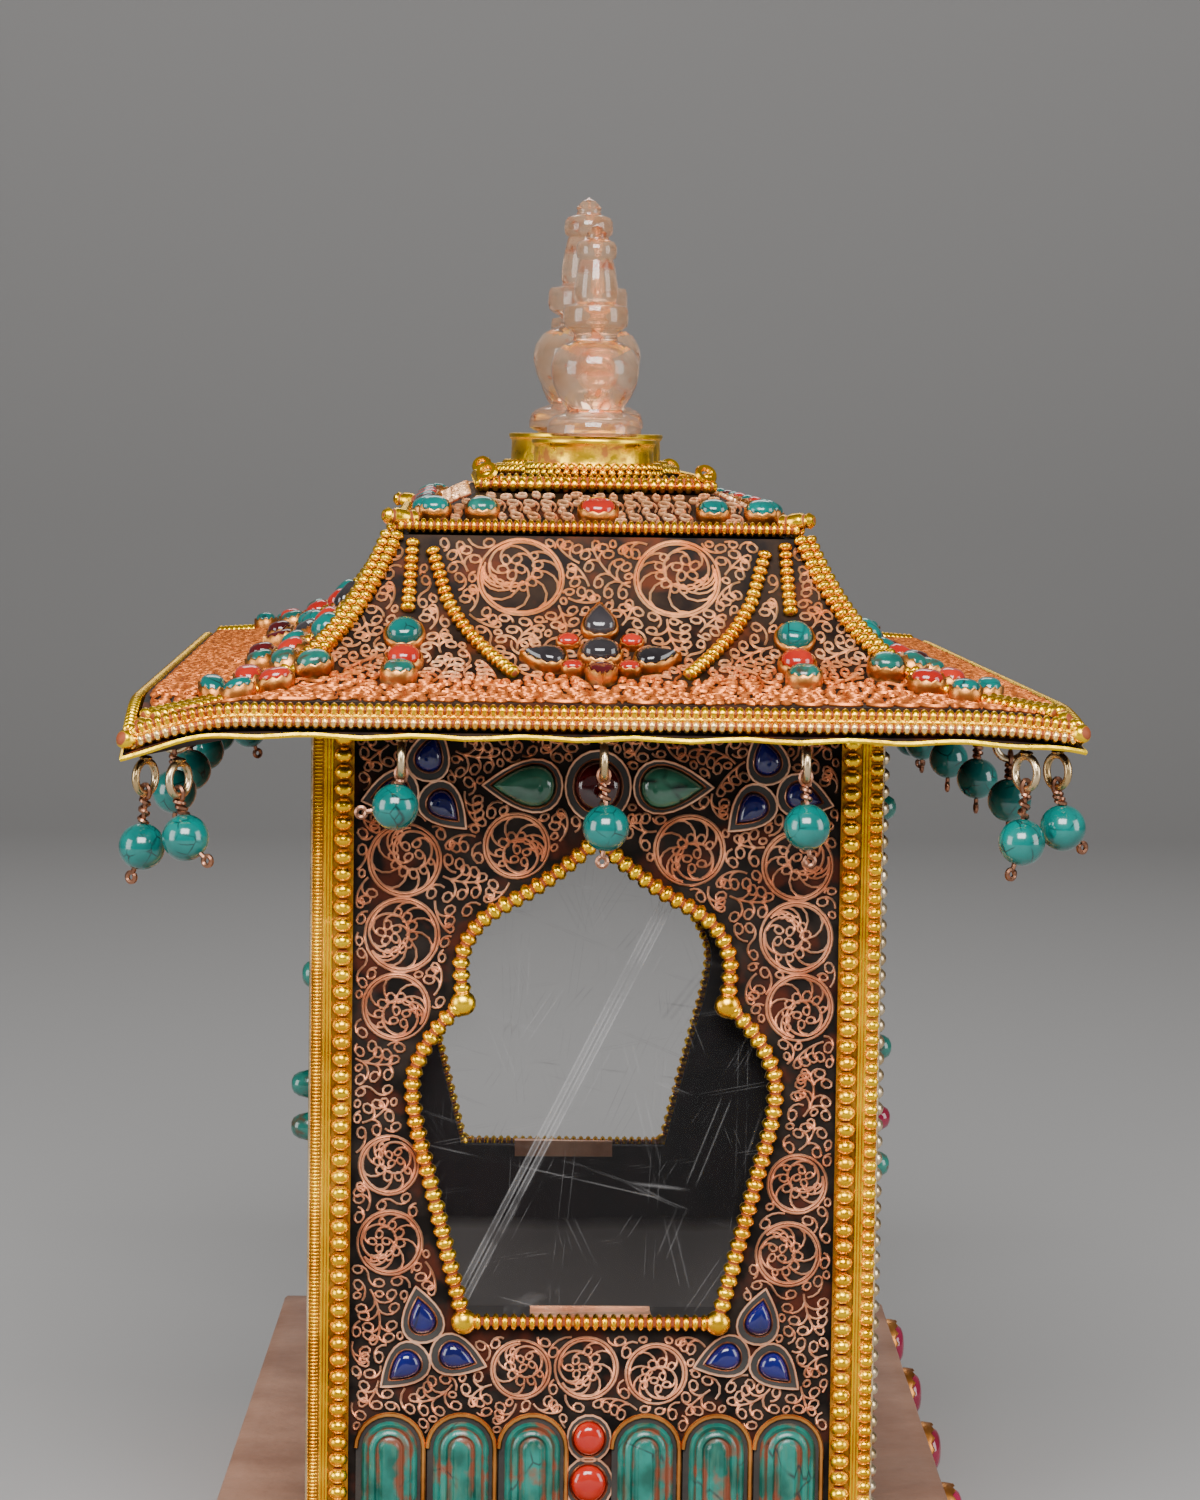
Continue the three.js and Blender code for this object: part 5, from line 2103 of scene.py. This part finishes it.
    def slope_stones(self, facing: Facing, field_: Filigree) -> StoneWork:
        """The stones of one slope, which also take their room in the filigree.

        Args:
            facing: The slope.
            field_: Its filigree.

        Returns:
            The stones in their collars, on the flat.
        """
        f, half, column = self.finishes, self.half_of(facing), self.column_of(facing)
        hips = ((15.2, f.old_turquoise, 1.15), (11.2, f.coral, 1.12), (7.4, f.turquoise, 1.0))
        low, old = circle(self.stone * 1.06, 22), f.old_turquoise
        stones = []
        for sign in (-1, 1):
            stones += [
                (circle(self.stone * 1.2, 22), sign * column, 19.4, 0.0, f.turquoise, 1.5, 1.0),
                (circle(self.stone * 1.13, 22), sign * column, 15.5, 0.0, f.coral, 1.4, 1.3),
                (low, sign * (column + 0.5), 11.9, 0.0, old, 1.1, 1.7),
            ]
            for inset, gem, size in hips:
                outline = circle(self.stone * size, 22, 0.92)
                stones.append((outline, sign * (half - inset - 2.6), inset, 0.0, gem, 1.3, 1.7))
            stones += [
                (drop(5.4, 3.8), sign * 5.9, 15.9, -sign * 1.35, f.smoky, 1.1, 1.4),
                (circle(1.35, 16, 0.8), sign * 3.5, 18.7, 0.0, f.coral, 0.7, 0.9),
                (circle(1.35, 16, 0.8), sign * 3.1, 14.2, 0.0, f.coral, 0.7, 1.2),
            ]
        heart = f.smoky if facing.narrow else f.turquoise
        stones += [
            (circle(2.5, 24, 0.86), 0.0, 16.6, 0.0, heart, 1.5, 1.5),
            (drop(5.2, 4.1), 0.0, 20.6, 0.0, f.smoky, 1.2, 1.1),
            (drop(4.6, 3.5), 0.0, 12.3, math.pi, f.garnet, 0.8, 1.7),
        ]
        if not facing.narrow:
            row = ((19.0, f.coral), (15.0, f.turquoise), (11.0, f.garnet))
            for x in (-26.0, 26.0):
                stones += [(circle(2.0, 20), x, inset, 0.0, gem, 1.3, 1.3) for inset, gem in row]
        work = StoneWork(f)
        for outline, x, inset, turn, gem, height, wall in stones:
            place = (x, self.up_from(inset), turn)
            work.toothed(outline, place, gem, height, wall)
            field_.block(placed(outline * 1.06, *place))
        return work

    def slope_lines(self, facing: Facing) -> list[Line]:
        """Beaded lines of one slope: straight ones by the columns and the swags between them.

        Args:
            facing: The slope.

        Returns:
            The lines, on the flat.
        """
        column, top = self.column_of(facing), self.slope - 0.5
        straight = [(column - 0.8, top), (column - 0.3, self.up_from(21.4))]
        bend = [
            (2.8, 25.6), (3.6, 24.4), (4.7, 22.3), (6.6, 20.0), (8.6, 17.8), (10.6, 15.2), (12.2, 12.6),
        ]
        swag = [(column - inward, self.up_from(inset)) for inward, inset in bend]
        return [np.array(line) * np.array([sign, 1]) for sign in (-1, 1) for line in (straight, swag)]

    def slope_piece(self, facing: Facing) -> None:
        """The wires, beaded lines and stones of one slope.

        Args:
            facing: The slope.
        """
        half = self.half_of(facing)
        field_ = Filigree((-half, 0.3), (half, self.slope - 0.3), 40 + facing.value)
        left = [(inset + 0.9 - half, self.up_from(inset)) for inset in np.linspace(0, self.run, 24)]
        field_.block(np.array(left + [(-x, y) for x, y in reversed(left)]), outside=True)
        work = self.slope_stones(facing, field_)
        lines = self.slope_lines(facing)
        for line in lines:
            field_.block_line(spread(line, 0.5), 1.0)
        top = self.slope - self.swirl
        spots = [(8.7, top - 0.4, self.swirl)]
        if not facing.narrow:
            spots += [(19.0, top - 0.4, self.swirl), (30.5, top - 0.5, self.swirl)]
            spots.append((19.5, self.slope - 14.5, 4.2))
        for x, y, radius in spots:
            field_.rosette(-x, y, radius, 2.2, 1)
            field_.rosette(x, y, radius, math.pi - 2.2, -1)
        field_.fill(0.9)
        wirework = field_.shape(0.14, 0.14, 1.8).moved(lambda p: self.laid(p, facing))
        parts = [(wirework, self.finishes.roof_wire)]
        piece_from(f"roof_filigree_{facing.title}", parts)
        bead = ball((0.5, 0.86, 0.8), 9, 6)
        rows = []
        for line in lines:
            flat = spread(at_level(line, 0.62), 0.4)
            fine = self.laid(flat, facing)
            above = self.laid(flat + UP, facing) - fine
            places = spread(fine, 0.98)
            lifts = [above[np.argmin(np.linalg.norm(fine - place, axis=1))] for place in places]
            rows.append(bead.copies(frames_along(places, np.array(lifts)), places))
        parts = [(Shape.joined(rows), self.finishes.gilt)]
        parts += work.listed(lambda p: self.laid(p, facing))
        piece_from(f"roof_stones_{facing.title}", parts)

    def hips(self) -> None:
        """The double rows of beads down the four hips."""
        bead = ball((0.52, 0.88, 0.82), 9, 6)
        insets = np.linspace(self.run, 0.8, 60)
        half_x, half_y = self.slope_x - insets, self.slope_y - insets
        rows = []
        for sign_x, sign_y in CORNERS:
            for aside in (0.576, -0.576):
                x, y = sign_x * (half_x + aside), sign_y * (half_y - aside)
                line = np.column_stack([x, y, self.height_at(insets) + 0.35])
                line = self.drooped(line, half_x, half_y, 1 - insets / self.run)
                rows.append(beaded(bead, line, (sign_x * 0.4, sign_y * 0.4, 1.0), 1.02))
        piece_from("hip_beads", [(Shape.joined(rows), self.finishes.gilt)])

    def frame_ring(self, half_x: float, half_y: float, z: float, bead: Shape, pitch: float) -> Shape:
        """A ring of beads round a rectangle, on a thin core.

        Args:
            half_x: The ring's half width.
            half_y: Its half length.
            z: Its level.
            bead: One bead, its hole along X.
            pitch: How far apart the beads are.

        Returns:
            The ring.
        """
        line = self.rectangle(half_x, half_y, z, 0, number=30)
        core = wires([line], 0.5, closed=True, sides=1).shaded(0.05)
        return Shape.joined([beaded(bead, line, UP, pitch, closed=True), core])

    def frames(self) -> None:
        """The beaded frames at the top of the slopes and round the ridge, with their knobs."""
        bead = ball((0.4, 0.84, 0.84), 9, 6)
        large = ball((0.56, 0.9, 0.86), 9, 6)
        half_x, half_y = self.frame_half_x - 0.75, self.frame_half_y - 0.75
        level = node_box("roof_frame")[0][2] + 0.75
        profile = [
            (0, -2.0), (0.8, -2.0), (1.0, -1.5), (0.8, -1.0), (1.0, -0.5), (1.0, 0.6), (0.75, 1.1),
            (0.95, 1.6), (0.6, 2.1), (0, 2.15),
        ]
        roll = turned(profile, 12)
        rows = [self.frame_ring(half_x, half_y, level, bead, 0.8)]
        for sign_x, sign_y in CORNERS:
            out = math.atan2(sign_y, sign_x) * 0.6 + (0.4 if sign_x < 0 else 0.0) * math.pi * sign_y
            lean = Matrix.Rotation(out, 3, "Z") @ Matrix.Rotation(math.radians(84), 3, "Y")
            spot = (sign_x * (half_x - 0.2), sign_y * (half_y - 0.2), level + 0.9)
            rows.append(roll.at(lean, spot))
        parts = [(Shape.joined(rows), self.finishes.gilt)]
        piece_from("roof_frame_beads", parts, ["roof_frame"])
        half_x, half_y = self.ridge_half_x - 0.8, self.ridge_half_y - 0.8
        level = node_box("ridge_frame")[0][2] + 0.8
        rows = [
            self.frame_ring(half_x, half_y, level - 0.1, large, 1.0),
            self.frame_ring(half_x - 0.9, half_y - 0.9, level + 0.35, bead, 0.85),
        ]
        shrunk = Matrix.Rotation(1.2, 3, "Y") * 0.7
        loop = ball((0.8, 0.8, 1.2), 10, 8, bead=False)
        ring = wires([at_level(circle(0.95, 14), 0.0)], 0.42, closed=True, sides=1)
        for sign_x, sign_y in CORNERS:
            spot = np.array([sign_x * (half_x - 0.5), sign_y * (half_y - 0.5), level + 1.3])
            lean = Matrix.Rotation(sign_x * 0.5, 3, "Y") @ Matrix.Rotation(0.8, 3, "X")
            rows += [ring.at(lean, spot), loop.at(shrunk, spot - UP * 0.4)]
        parts = [(Shape.joined(rows), self.finishes.gilt)]
        piece_from("ridge_frame_beads", parts, ["ridge_frame"])

    def upper_band(self) -> None:
        """The raised band under the ridge, with its commas and its row of stones."""
        f = self.finishes
        inward = self.frame_bar + self.gap
        foot_x, foot_y = self.frame_half_x - inward, self.frame_half_y - inward
        run, rise = self.upper_run - self.ridge_bar, self.upper_rise - 0.8
        top_x, top_y = foot_x - run, foot_y - run
        level = self.deck + self.gap
        high = level + self.upper_rise
        body = closed_body(
            [
                self.rectangle(foot_x, foot_y, level, 0),
                self.rectangle(foot_x, foot_y, level + 0.8, 0),
                self.rectangle(top_x, top_y, high, 0),
                self.rectangle(top_x - 1.9, top_y - 1.9, high, 0),
                self.rectangle(top_x - 1.9, top_y - 1.9, high + 1.6, 0),
            ],
            level,
            high + 1.6,
        )
        length, tilt = math.hypot(run, rise), math.atan2(rise, run)
        wire, stones = [], StoneWork(f)
        for facing in Facing:
            half, depth = (foot_x, foot_y) if facing.narrow else (foot_y, foot_x)
            field_ = Filigree((-half, 0.1), (half, length - 0.2), 60 + facing.value)
            slanted = half - run - 0.4
            edge = [(0.6 - half, 0.0), (half - 0.6, 0.0), (slanted, length), (-slanted, length)]
            field_.block(np.array(edge), outside=True)
            side = StoneWork(f)
            spots = [
                (2.9 - half, f.turquoise), (8.3 - half, f.old_turquoise), (0.0, f.coral),
                (half - 8.3, f.turquoise), (half - 2.9, f.turquoise),
            ]
            if not facing.narrow:
                spots += [(-half / 2, f.coral), (half / 2, f.garnet)]
                spots += [(-half / 4, f.turquoise), (half / 4, f.turquoise)]
            for x, gem in spots:
                size = 2.3 if x == 0 else 1.95
                side.toothed(circle(size, 20, 0.85), (x, 2.5), gem, 1.1, 1.4)
                field_.block(placed(circle(size, 20), x, 2.5))
            for y, size, way in ((0.5, 2.5, 0.9), (3.4, 3.0, 1.1)):
                for x in np.arange(1.2 - half, half - 1.2, 1.9):
                    line = field_.hook((x, y), way, size, 1.3, 0.55)
                    if field_.free(line):
                        field_.hooks.append(line)
                        field_.take(line)
            field_.settle(lambda a: [field_.hook((0, 0), a, 1.5, 1.3, 0.4)], 60)
            slope = (facing, depth, level + 0.8, tilt)
            wire.append(field_.shape(0.3, 0.13, 2.2).moved(lambda p: self.leaned(p, *slope)))
            stones.add_all(side, lambda p: self.leaned(p, *slope))
        parts = [(body, f.roof_ground), (Shape.joined(wire), f.roof_wire)]
        parts += stones.listed(lambda p: p)
        piece_from("upper_band", parts, ["upper_roof"])

    @staticmethod
    def leaned(
        points: np.ndarray, facing: Facing, depth: float, level: float, tilt: float
    ) -> np.ndarray:
        """Lays a flat field on a straight slope.

        Args:
            points: The field's points.
            facing: The side that the slope faces.
            depth: How far its foot is from the middle of the box.
            level: Level of its foot.
            tilt: Its tilt, in radians.

        Returns:
            The points on the slope.
        """
        along, up, lift = points.T
        out = depth - up * math.cos(tilt) + lift * math.sin(tilt)
        z = level + up * math.sin(tilt) + lift * math.cos(tilt)
        return facing.turn(np.column_stack([along, -out, z]))

    def build(self) -> None:
        """Builds the whole roof."""
        self.shell()
        self.eave_beads()
        for facing in Facing:
            self.slope_piece(facing)
        self.hips()
        self.frames()
        self.upper_band()


# Finials and pendants


@dataclass
class Finial:
    """A turned crystal in its gilt collar."""

    title: str
    finishes: Finishes
    profile: tuple[Point, ...] = (
        (0, 0), (0.9, 0), (1, 0.015), (1, 0.04), (0.97, 0.07), (0.9, 0.09), (0.74, 0.105), (0.62, 0.115),
        (0.6, 0.128), (0.66, 0.15), (0.78, 0.19), (0.88, 0.24), (0.93, 0.29), (0.94, 0.33), (0.9, 0.37),
        (0.8, 0.41), (0.62, 0.437), (0.48, 0.45), (0.45, 0.475), (0.49, 0.49), (0.6, 0.507), (0.67, 0.518),
        (0.69, 0.54), (0.69, 0.59), (0.66, 0.61), (0.48, 0.62), (0.44, 0.632), (0.47, 0.65), (0.46, 0.7),
        (0.42, 0.76), (0.37, 0.815), (0.35, 0.828), (0.41, 0.84), (0.43, 0.86), (0.42, 0.895), (0.38, 0.912),
        (0.22, 0.925), (0.2, 0.94), (0.22, 0.955), (0.13, 0.98), (0, 1.0),
    )

    def build(self) -> None:
        """Builds the crystal and its collar."""
        f = self.finishes
        low, high = node_box(f"finial_{self.title}")
        radius, height = (high[0] - low[0]) / 2, high[2] - low[2]
        middle = np.array([0, (low[1] + high[1]) / 2, 0])
        crystal = turned([(r * radius, low[2] + z * height) for r, z in self.profile], 44)
        parts = [(crystal.moved(lambda p: p + middle), f.crystal)]
        piece_from(f"crystal_{self.title}", parts, [f"finial_{self.title}"])
        low, high = node_box(f"finial_collar_{self.title}")
        flange, foot, top = (high[0] - low[0]) / 2, low[2], high[2]
        drum = 9.2 if self.title == "middle" else flange - 0.95
        profile = [
            (0, foot), (flange - 0.8, foot), (flange - 0.7, foot + 0.5), (drum + 0.15, foot + 0.6),
            (drum + 0.1, foot + 1.1), (drum, foot + 1.4), (drum - 0.1, top - 0.9), (drum + 0.15, top - 0.6),
            (drum + 0.28, top - 0.3), (drum + 0.2, top - 0.05), (drum - 0.3, top), (drum - 0.8, top - 0.1),
            (0, top - 0.15),
        ]
        bead = ball((0.52, 0.62, 0.6), 9, 6)
        rings = [(drum + 0.55, foot + 1.05, 1.0), (flange - 0.45, foot + 0.42, 1.05)]
        if self.title == "middle":
            rings.append((drum + 1.5, foot + 0.6, 1.1))
        rows = [
            beaded(bead, at_level(circle(radius, 72), z), UP, pitch, closed=True)
            for radius, z, pitch in rings
        ]
        shapes = ((turned(profile, 48), f.gilt_plain), (Shape.joined(rows), f.gilt))
        parts = [(shape.moved(lambda p: p + middle), kind) for shape, kind in shapes]
        piece_from(f"gilt_collar_{self.title}", parts, [f"finial_collar_{self.title}"])


@dataclass
class Pendants:
    """The bead pendants under the eaves."""

    finishes: Finishes
    ring: float = 1.75
    ring_wire: float = 0.42
    wire: float = 0.27
    bead: float = 2.5

    def one(self, lean: float, fall: float, loop_turn: float) -> list[Part]:
        """One pendant hung from the origin.

        Args:
            lean: How far its bead swings along X, in millimetres.
            fall: How far its bead hangs down.
            loop_turn: The way its lower loop points, from straight down.

        Returns:
            Its shapes.
        """
        f = self.finishes
        centre = -self.ring - self.ring_wire
        flat = circle(self.ring, 26)
        hoop = np.column_stack([np.zeros(26), flat[:, 0], flat[:, 1] + centre])
        ring = wires([hoop], self.ring_wire, closed=True, sides=2)
        pad = ball((0.75, 0.75, 0.3), 12, 6, bead=False).moved(lambda p: p - UP * 0.1)
        foot = centre - self.ring
        bead_at = np.array([lean, 0.0, -fall])
        eye = circle(0.62, 14)
        link = np.column_stack([eye[:, 0] * 0.9, np.zeros(14), eye[:, 1] * 1.25 + foot + 0.2])
        top = bead_at + np.array([-lean * 0.25, 0, self.bead])
        hung = UP * (foot - 0.6)
        straight = np.array([hung, (top + hung) * 0.5, top, bead_at])
        turns = np.linspace(0, 2.6 * math.tau, 40)
        span = np.linspace(0, 1, 40)[:, None]
        coil = UP * (foot - 0.5) * (1 - span) + top * span + 0.42 * at_level(headed(turns), 0.0)
        way = np.array([math.sin(loop_turn), 0, -math.cos(loop_turn)])
        side = np.array([math.cos(loop_turn), 0, math.sin(loop_turn)])
        start = bead_at + way * (self.bead - 0.2)
        angle = np.linspace(-0.5 * math.pi, 1.35 * math.pi, 18)[:, None]
        loop = start + way * 1.35 + 0.52 * (np.cos(angle) * side + np.sin(angle) * way)
        pin = np.vstack([start, start + way * 0.7, loop])
        bead = ball((self.bead,) * 3, 26, 18, bead=False).moved(lambda p: p + bead_at)
        thin = [wires([link], self.wire, closed=True, sides=1)]
        thin.append(wires([straight, coil, pin], self.wire, sides=1))
        silver = Shape.joined([ring, pad])
        return [(silver, f.silver), (Shape.joined(thin), f.dark_wire), (bead, f.turquoise)]

    def build(self) -> None:
        """Builds every pendant in the place of its node."""
        swings = {"near_1": (-0.6, 7.3, -1.4), "near_2": (0.3, 9.3, -0.1), "near_3": (0.2, 9.0, 0.1)}
        for name in sorted(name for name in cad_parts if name.startswith("pendant")):
            title = name.replace("pendant_", "")
            low, high = node_box(name)
            x, y, _ = (low + high) / 2
            if "pair" in name:
                hung = [(-2.2, -0.9, 8.3, -0.9), (2.2, 0.4, 9.6, 0.4)]
                angle, level = math.atan2(y, x) - math.pi / 2, high[2] + 0.2
            else:
                hung = [(0.0, *swings.get(title, (0.2, 8.6, 0.2)))]
                angle, level = math.pi / 2 if abs(y) < 70 else 0.0, high[2]
            turn = np.array(Matrix.Rotation(angle, 3, "Z"))
            spot = np.array([x, y, level])
            work = StoneWork(self.finishes)
            for aside, *swing in hung:
                for shape, material in self.one(*swing):
                    work.add(shape.moved(lambda p: p + np.array([aside, 0, 0])), material)
            parts = work.listed(lambda p: p @ turn.T + spot)
            piece_from(f"bead_pendant_{title}", parts, [name])


# Studio


@dataclass(frozen=True)
class Studio:
    """Camera, lights and the pale sweep that the box stands on."""

    camera_place: tuple[float, float, float] = (-16.8, -514.0, 141.0)
    yaw: float = 2.125
    pitch: float = 4.5
    roll: float = 0.8
    lens: float = 100.0

    def camera(self) -> None:
        """Sets the camera at the photograph's viewing angle."""
        yaw, pitch, roll = (math.radians(a) for a in (self.yaw, self.pitch, self.roll))
        level = math.cos(pitch)
        ahead = Vector((math.sin(yaw) * level, math.cos(yaw) * level, -math.sin(pitch)))
        right = ahead.cross(Vector(UP)).normalized()
        up = right.cross(ahead)
        across = right * math.cos(roll) + up * math.sin(roll)
        upward = up * math.cos(roll) - right * math.sin(roll)
        data = bpy.data.cameras.new("camera")
        data.lens = self.lens
        data.sensor_width = 36.0
        data.clip_start, data.clip_end = 0.01, 20.0
        made = linked("camera", data)
        turn = Matrix((across, upward, -ahead)).transposed()
        made.matrix_world = Matrix.Translation(Vector(self.camera_place) * MM) @ turn.to_4x4()
        bpy.context.scene.camera = made

    def light(self, name: str, place: Sequence[float], size: Sequence[float], power: float) -> None:
        """Adds a soft box that faces the case.

        Args:
            name: Its name.
            place: Where it stands, in millimetres.
            size: Its width and height.
            power: Its power in watts.
        """
        data = bpy.data.lights.new(name, "AREA")
        data.shape = "RECTANGLE"
        data.size, data.size_y = (s * MM for s in size)
        data.energy = power
        made = linked(name, data)
        made.location = Vector(place) * MM
        made.rotation_mode = "QUATERNION"
        target = Vector((0, -0.03, 0.085))
        made.rotation_quaternion = (target - made.location).to_track_quat("-Z", "Y")

    def sweep(self) -> None:
        """The floor, which rises in a curve far behind the box."""
        profile = [(-2500.0, 0.0), (900.0, 0.0)]
        for angle in np.linspace(0.1, math.pi / 2, 12):
            profile.append((900 + 500 * math.sin(angle), 500 - 500 * math.cos(angle)))
        profile.append((1400.0, 3200.0))
        points = [(x * MM, y * MM, z * MM) for y, z in profile for x in (-3000.0, 3000.0)]
        faces = [(i, i + 1, i + 3, i + 2) for i in range(0, len(points) - 2, 2)]
        mesh = bpy.data.meshes.new("sweep")
        mesh.from_pydata(points, [], faces)
        made = linked("sweep", mesh)
        only(made)
        bpy.ops.object.shade_smooth()
        tree = Tree("pale_paper")
        # Painted falloff of light: darker on the floor and paler up the curve of the sweep.
        paper_with_painted_falloff = tree.mix(tree.axis(2).clamped(-0.2, 1.0), (0.28, 0.275, 0.272), (0.76, 0.745, 0.735))
        tree.dress(Base_Color=paper_with_painted_falloff, Roughness=0.9, Specular_IOR_Level=0.1)
        mesh.materials.append(tree.material)

    def build(self) -> None:
        """Builds the studio."""
        self.camera()
        self.sweep()
        self.light("soft_box_above", (-40, -560, 480), (420, 280), 8.5)
        self.light("soft_box_left", (-620, -300, 200), (320, 460), 3.2)
        self.light("soft_box_right", (620, -300, 240), (320, 460), 2.8)
        self.light("soft_box_behind", (0, 700, 700), (500, 260), 1.6)
        world = bpy.data.worlds.new("room")
        world.use_nodes = True
        world.node_tree.nodes["Background"].inputs[0].default_value = (0.62, 0.61, 0.60, 1.0)
        world.node_tree.nodes["Background"].inputs[1].default_value = 0.34
        bpy.context.scene.world = world


# The rosettes of the end walls as the photograph shows them: middle along and up, and radius
END_ROSETTES = (
    (-21.2, 92.6, 4.0), (-21.4, 84.3, 4.1), (-22.0, 76.3, 3.7), (-22.6, 58.6, 3.3), (-22.4, 49.9, 3.6),
    (-8.9, 94.3, 3.6), (22.2, 92.4, 3.9), (22.2, 84.4, 4.0), (22.7, 76.6, 3.7), (22.8, 56.8, 3.3),
    (21.9, 48.9, 3.6), (10.2, 94.0, 3.9), (-7.7, 35.7, 3.3), (-0.4, 35.9, 3.5), (7.4, 35.3, 3.4),
)

# The stones beside the window or the middle of the long walls: level and sort
SIDE_STONES = {
    Facing.FRONT: (
        (98.4, "tall_turquoise"), (71.3, "tall_turquoise"), (63.3, "tall_ruby"), (58.0, "tall_turquoise"),
    ),
    Facing.BACK: ((79.0, "low_turquoise"), (66.6, "tall_turquoise"), (61.8, "tall_turquoise")),
}


def main() -> None:
    """Builds the box and its studio, piece by piece."""
    logging.basicConfig(level=logging.INFO, format="%(message)s")
    finishes = Finishes()
    Studio().build()
    windows = {Facing.FRONT: WindowSize(25.5, 34.0, 26.5), Facing.BACK: None}
    for facing in Facing:
        window = windows.get(facing, WindowSize(14.1, 20.1, 14.6))
        rosettes = END_ROSETTES if facing.narrow else ()
        side_stones = SIDE_STONES.get(facing, ())
        Wall(facing, finishes, window, rosettes, side_stones, 7 + facing.value).build()
    # The case floor takes the lining and its painted floor light.
    coat("case_floor", finishes.lining)
    for title, sign_y in (("far", 1), ("near", -1)):
        CornerPost(f"{title}_front", 1, sign_y, finishes).build()
        CornerPost(f"{title}_back", -1, sign_y, finishes).build()
    Plinth(finishes).build()
    Roof(finishes).build()
    for title in ("near", "middle", "far"):
        Finial(title, finishes).build()
    Pendants(finishes).build()


if __name__ == "__main__":
    main()
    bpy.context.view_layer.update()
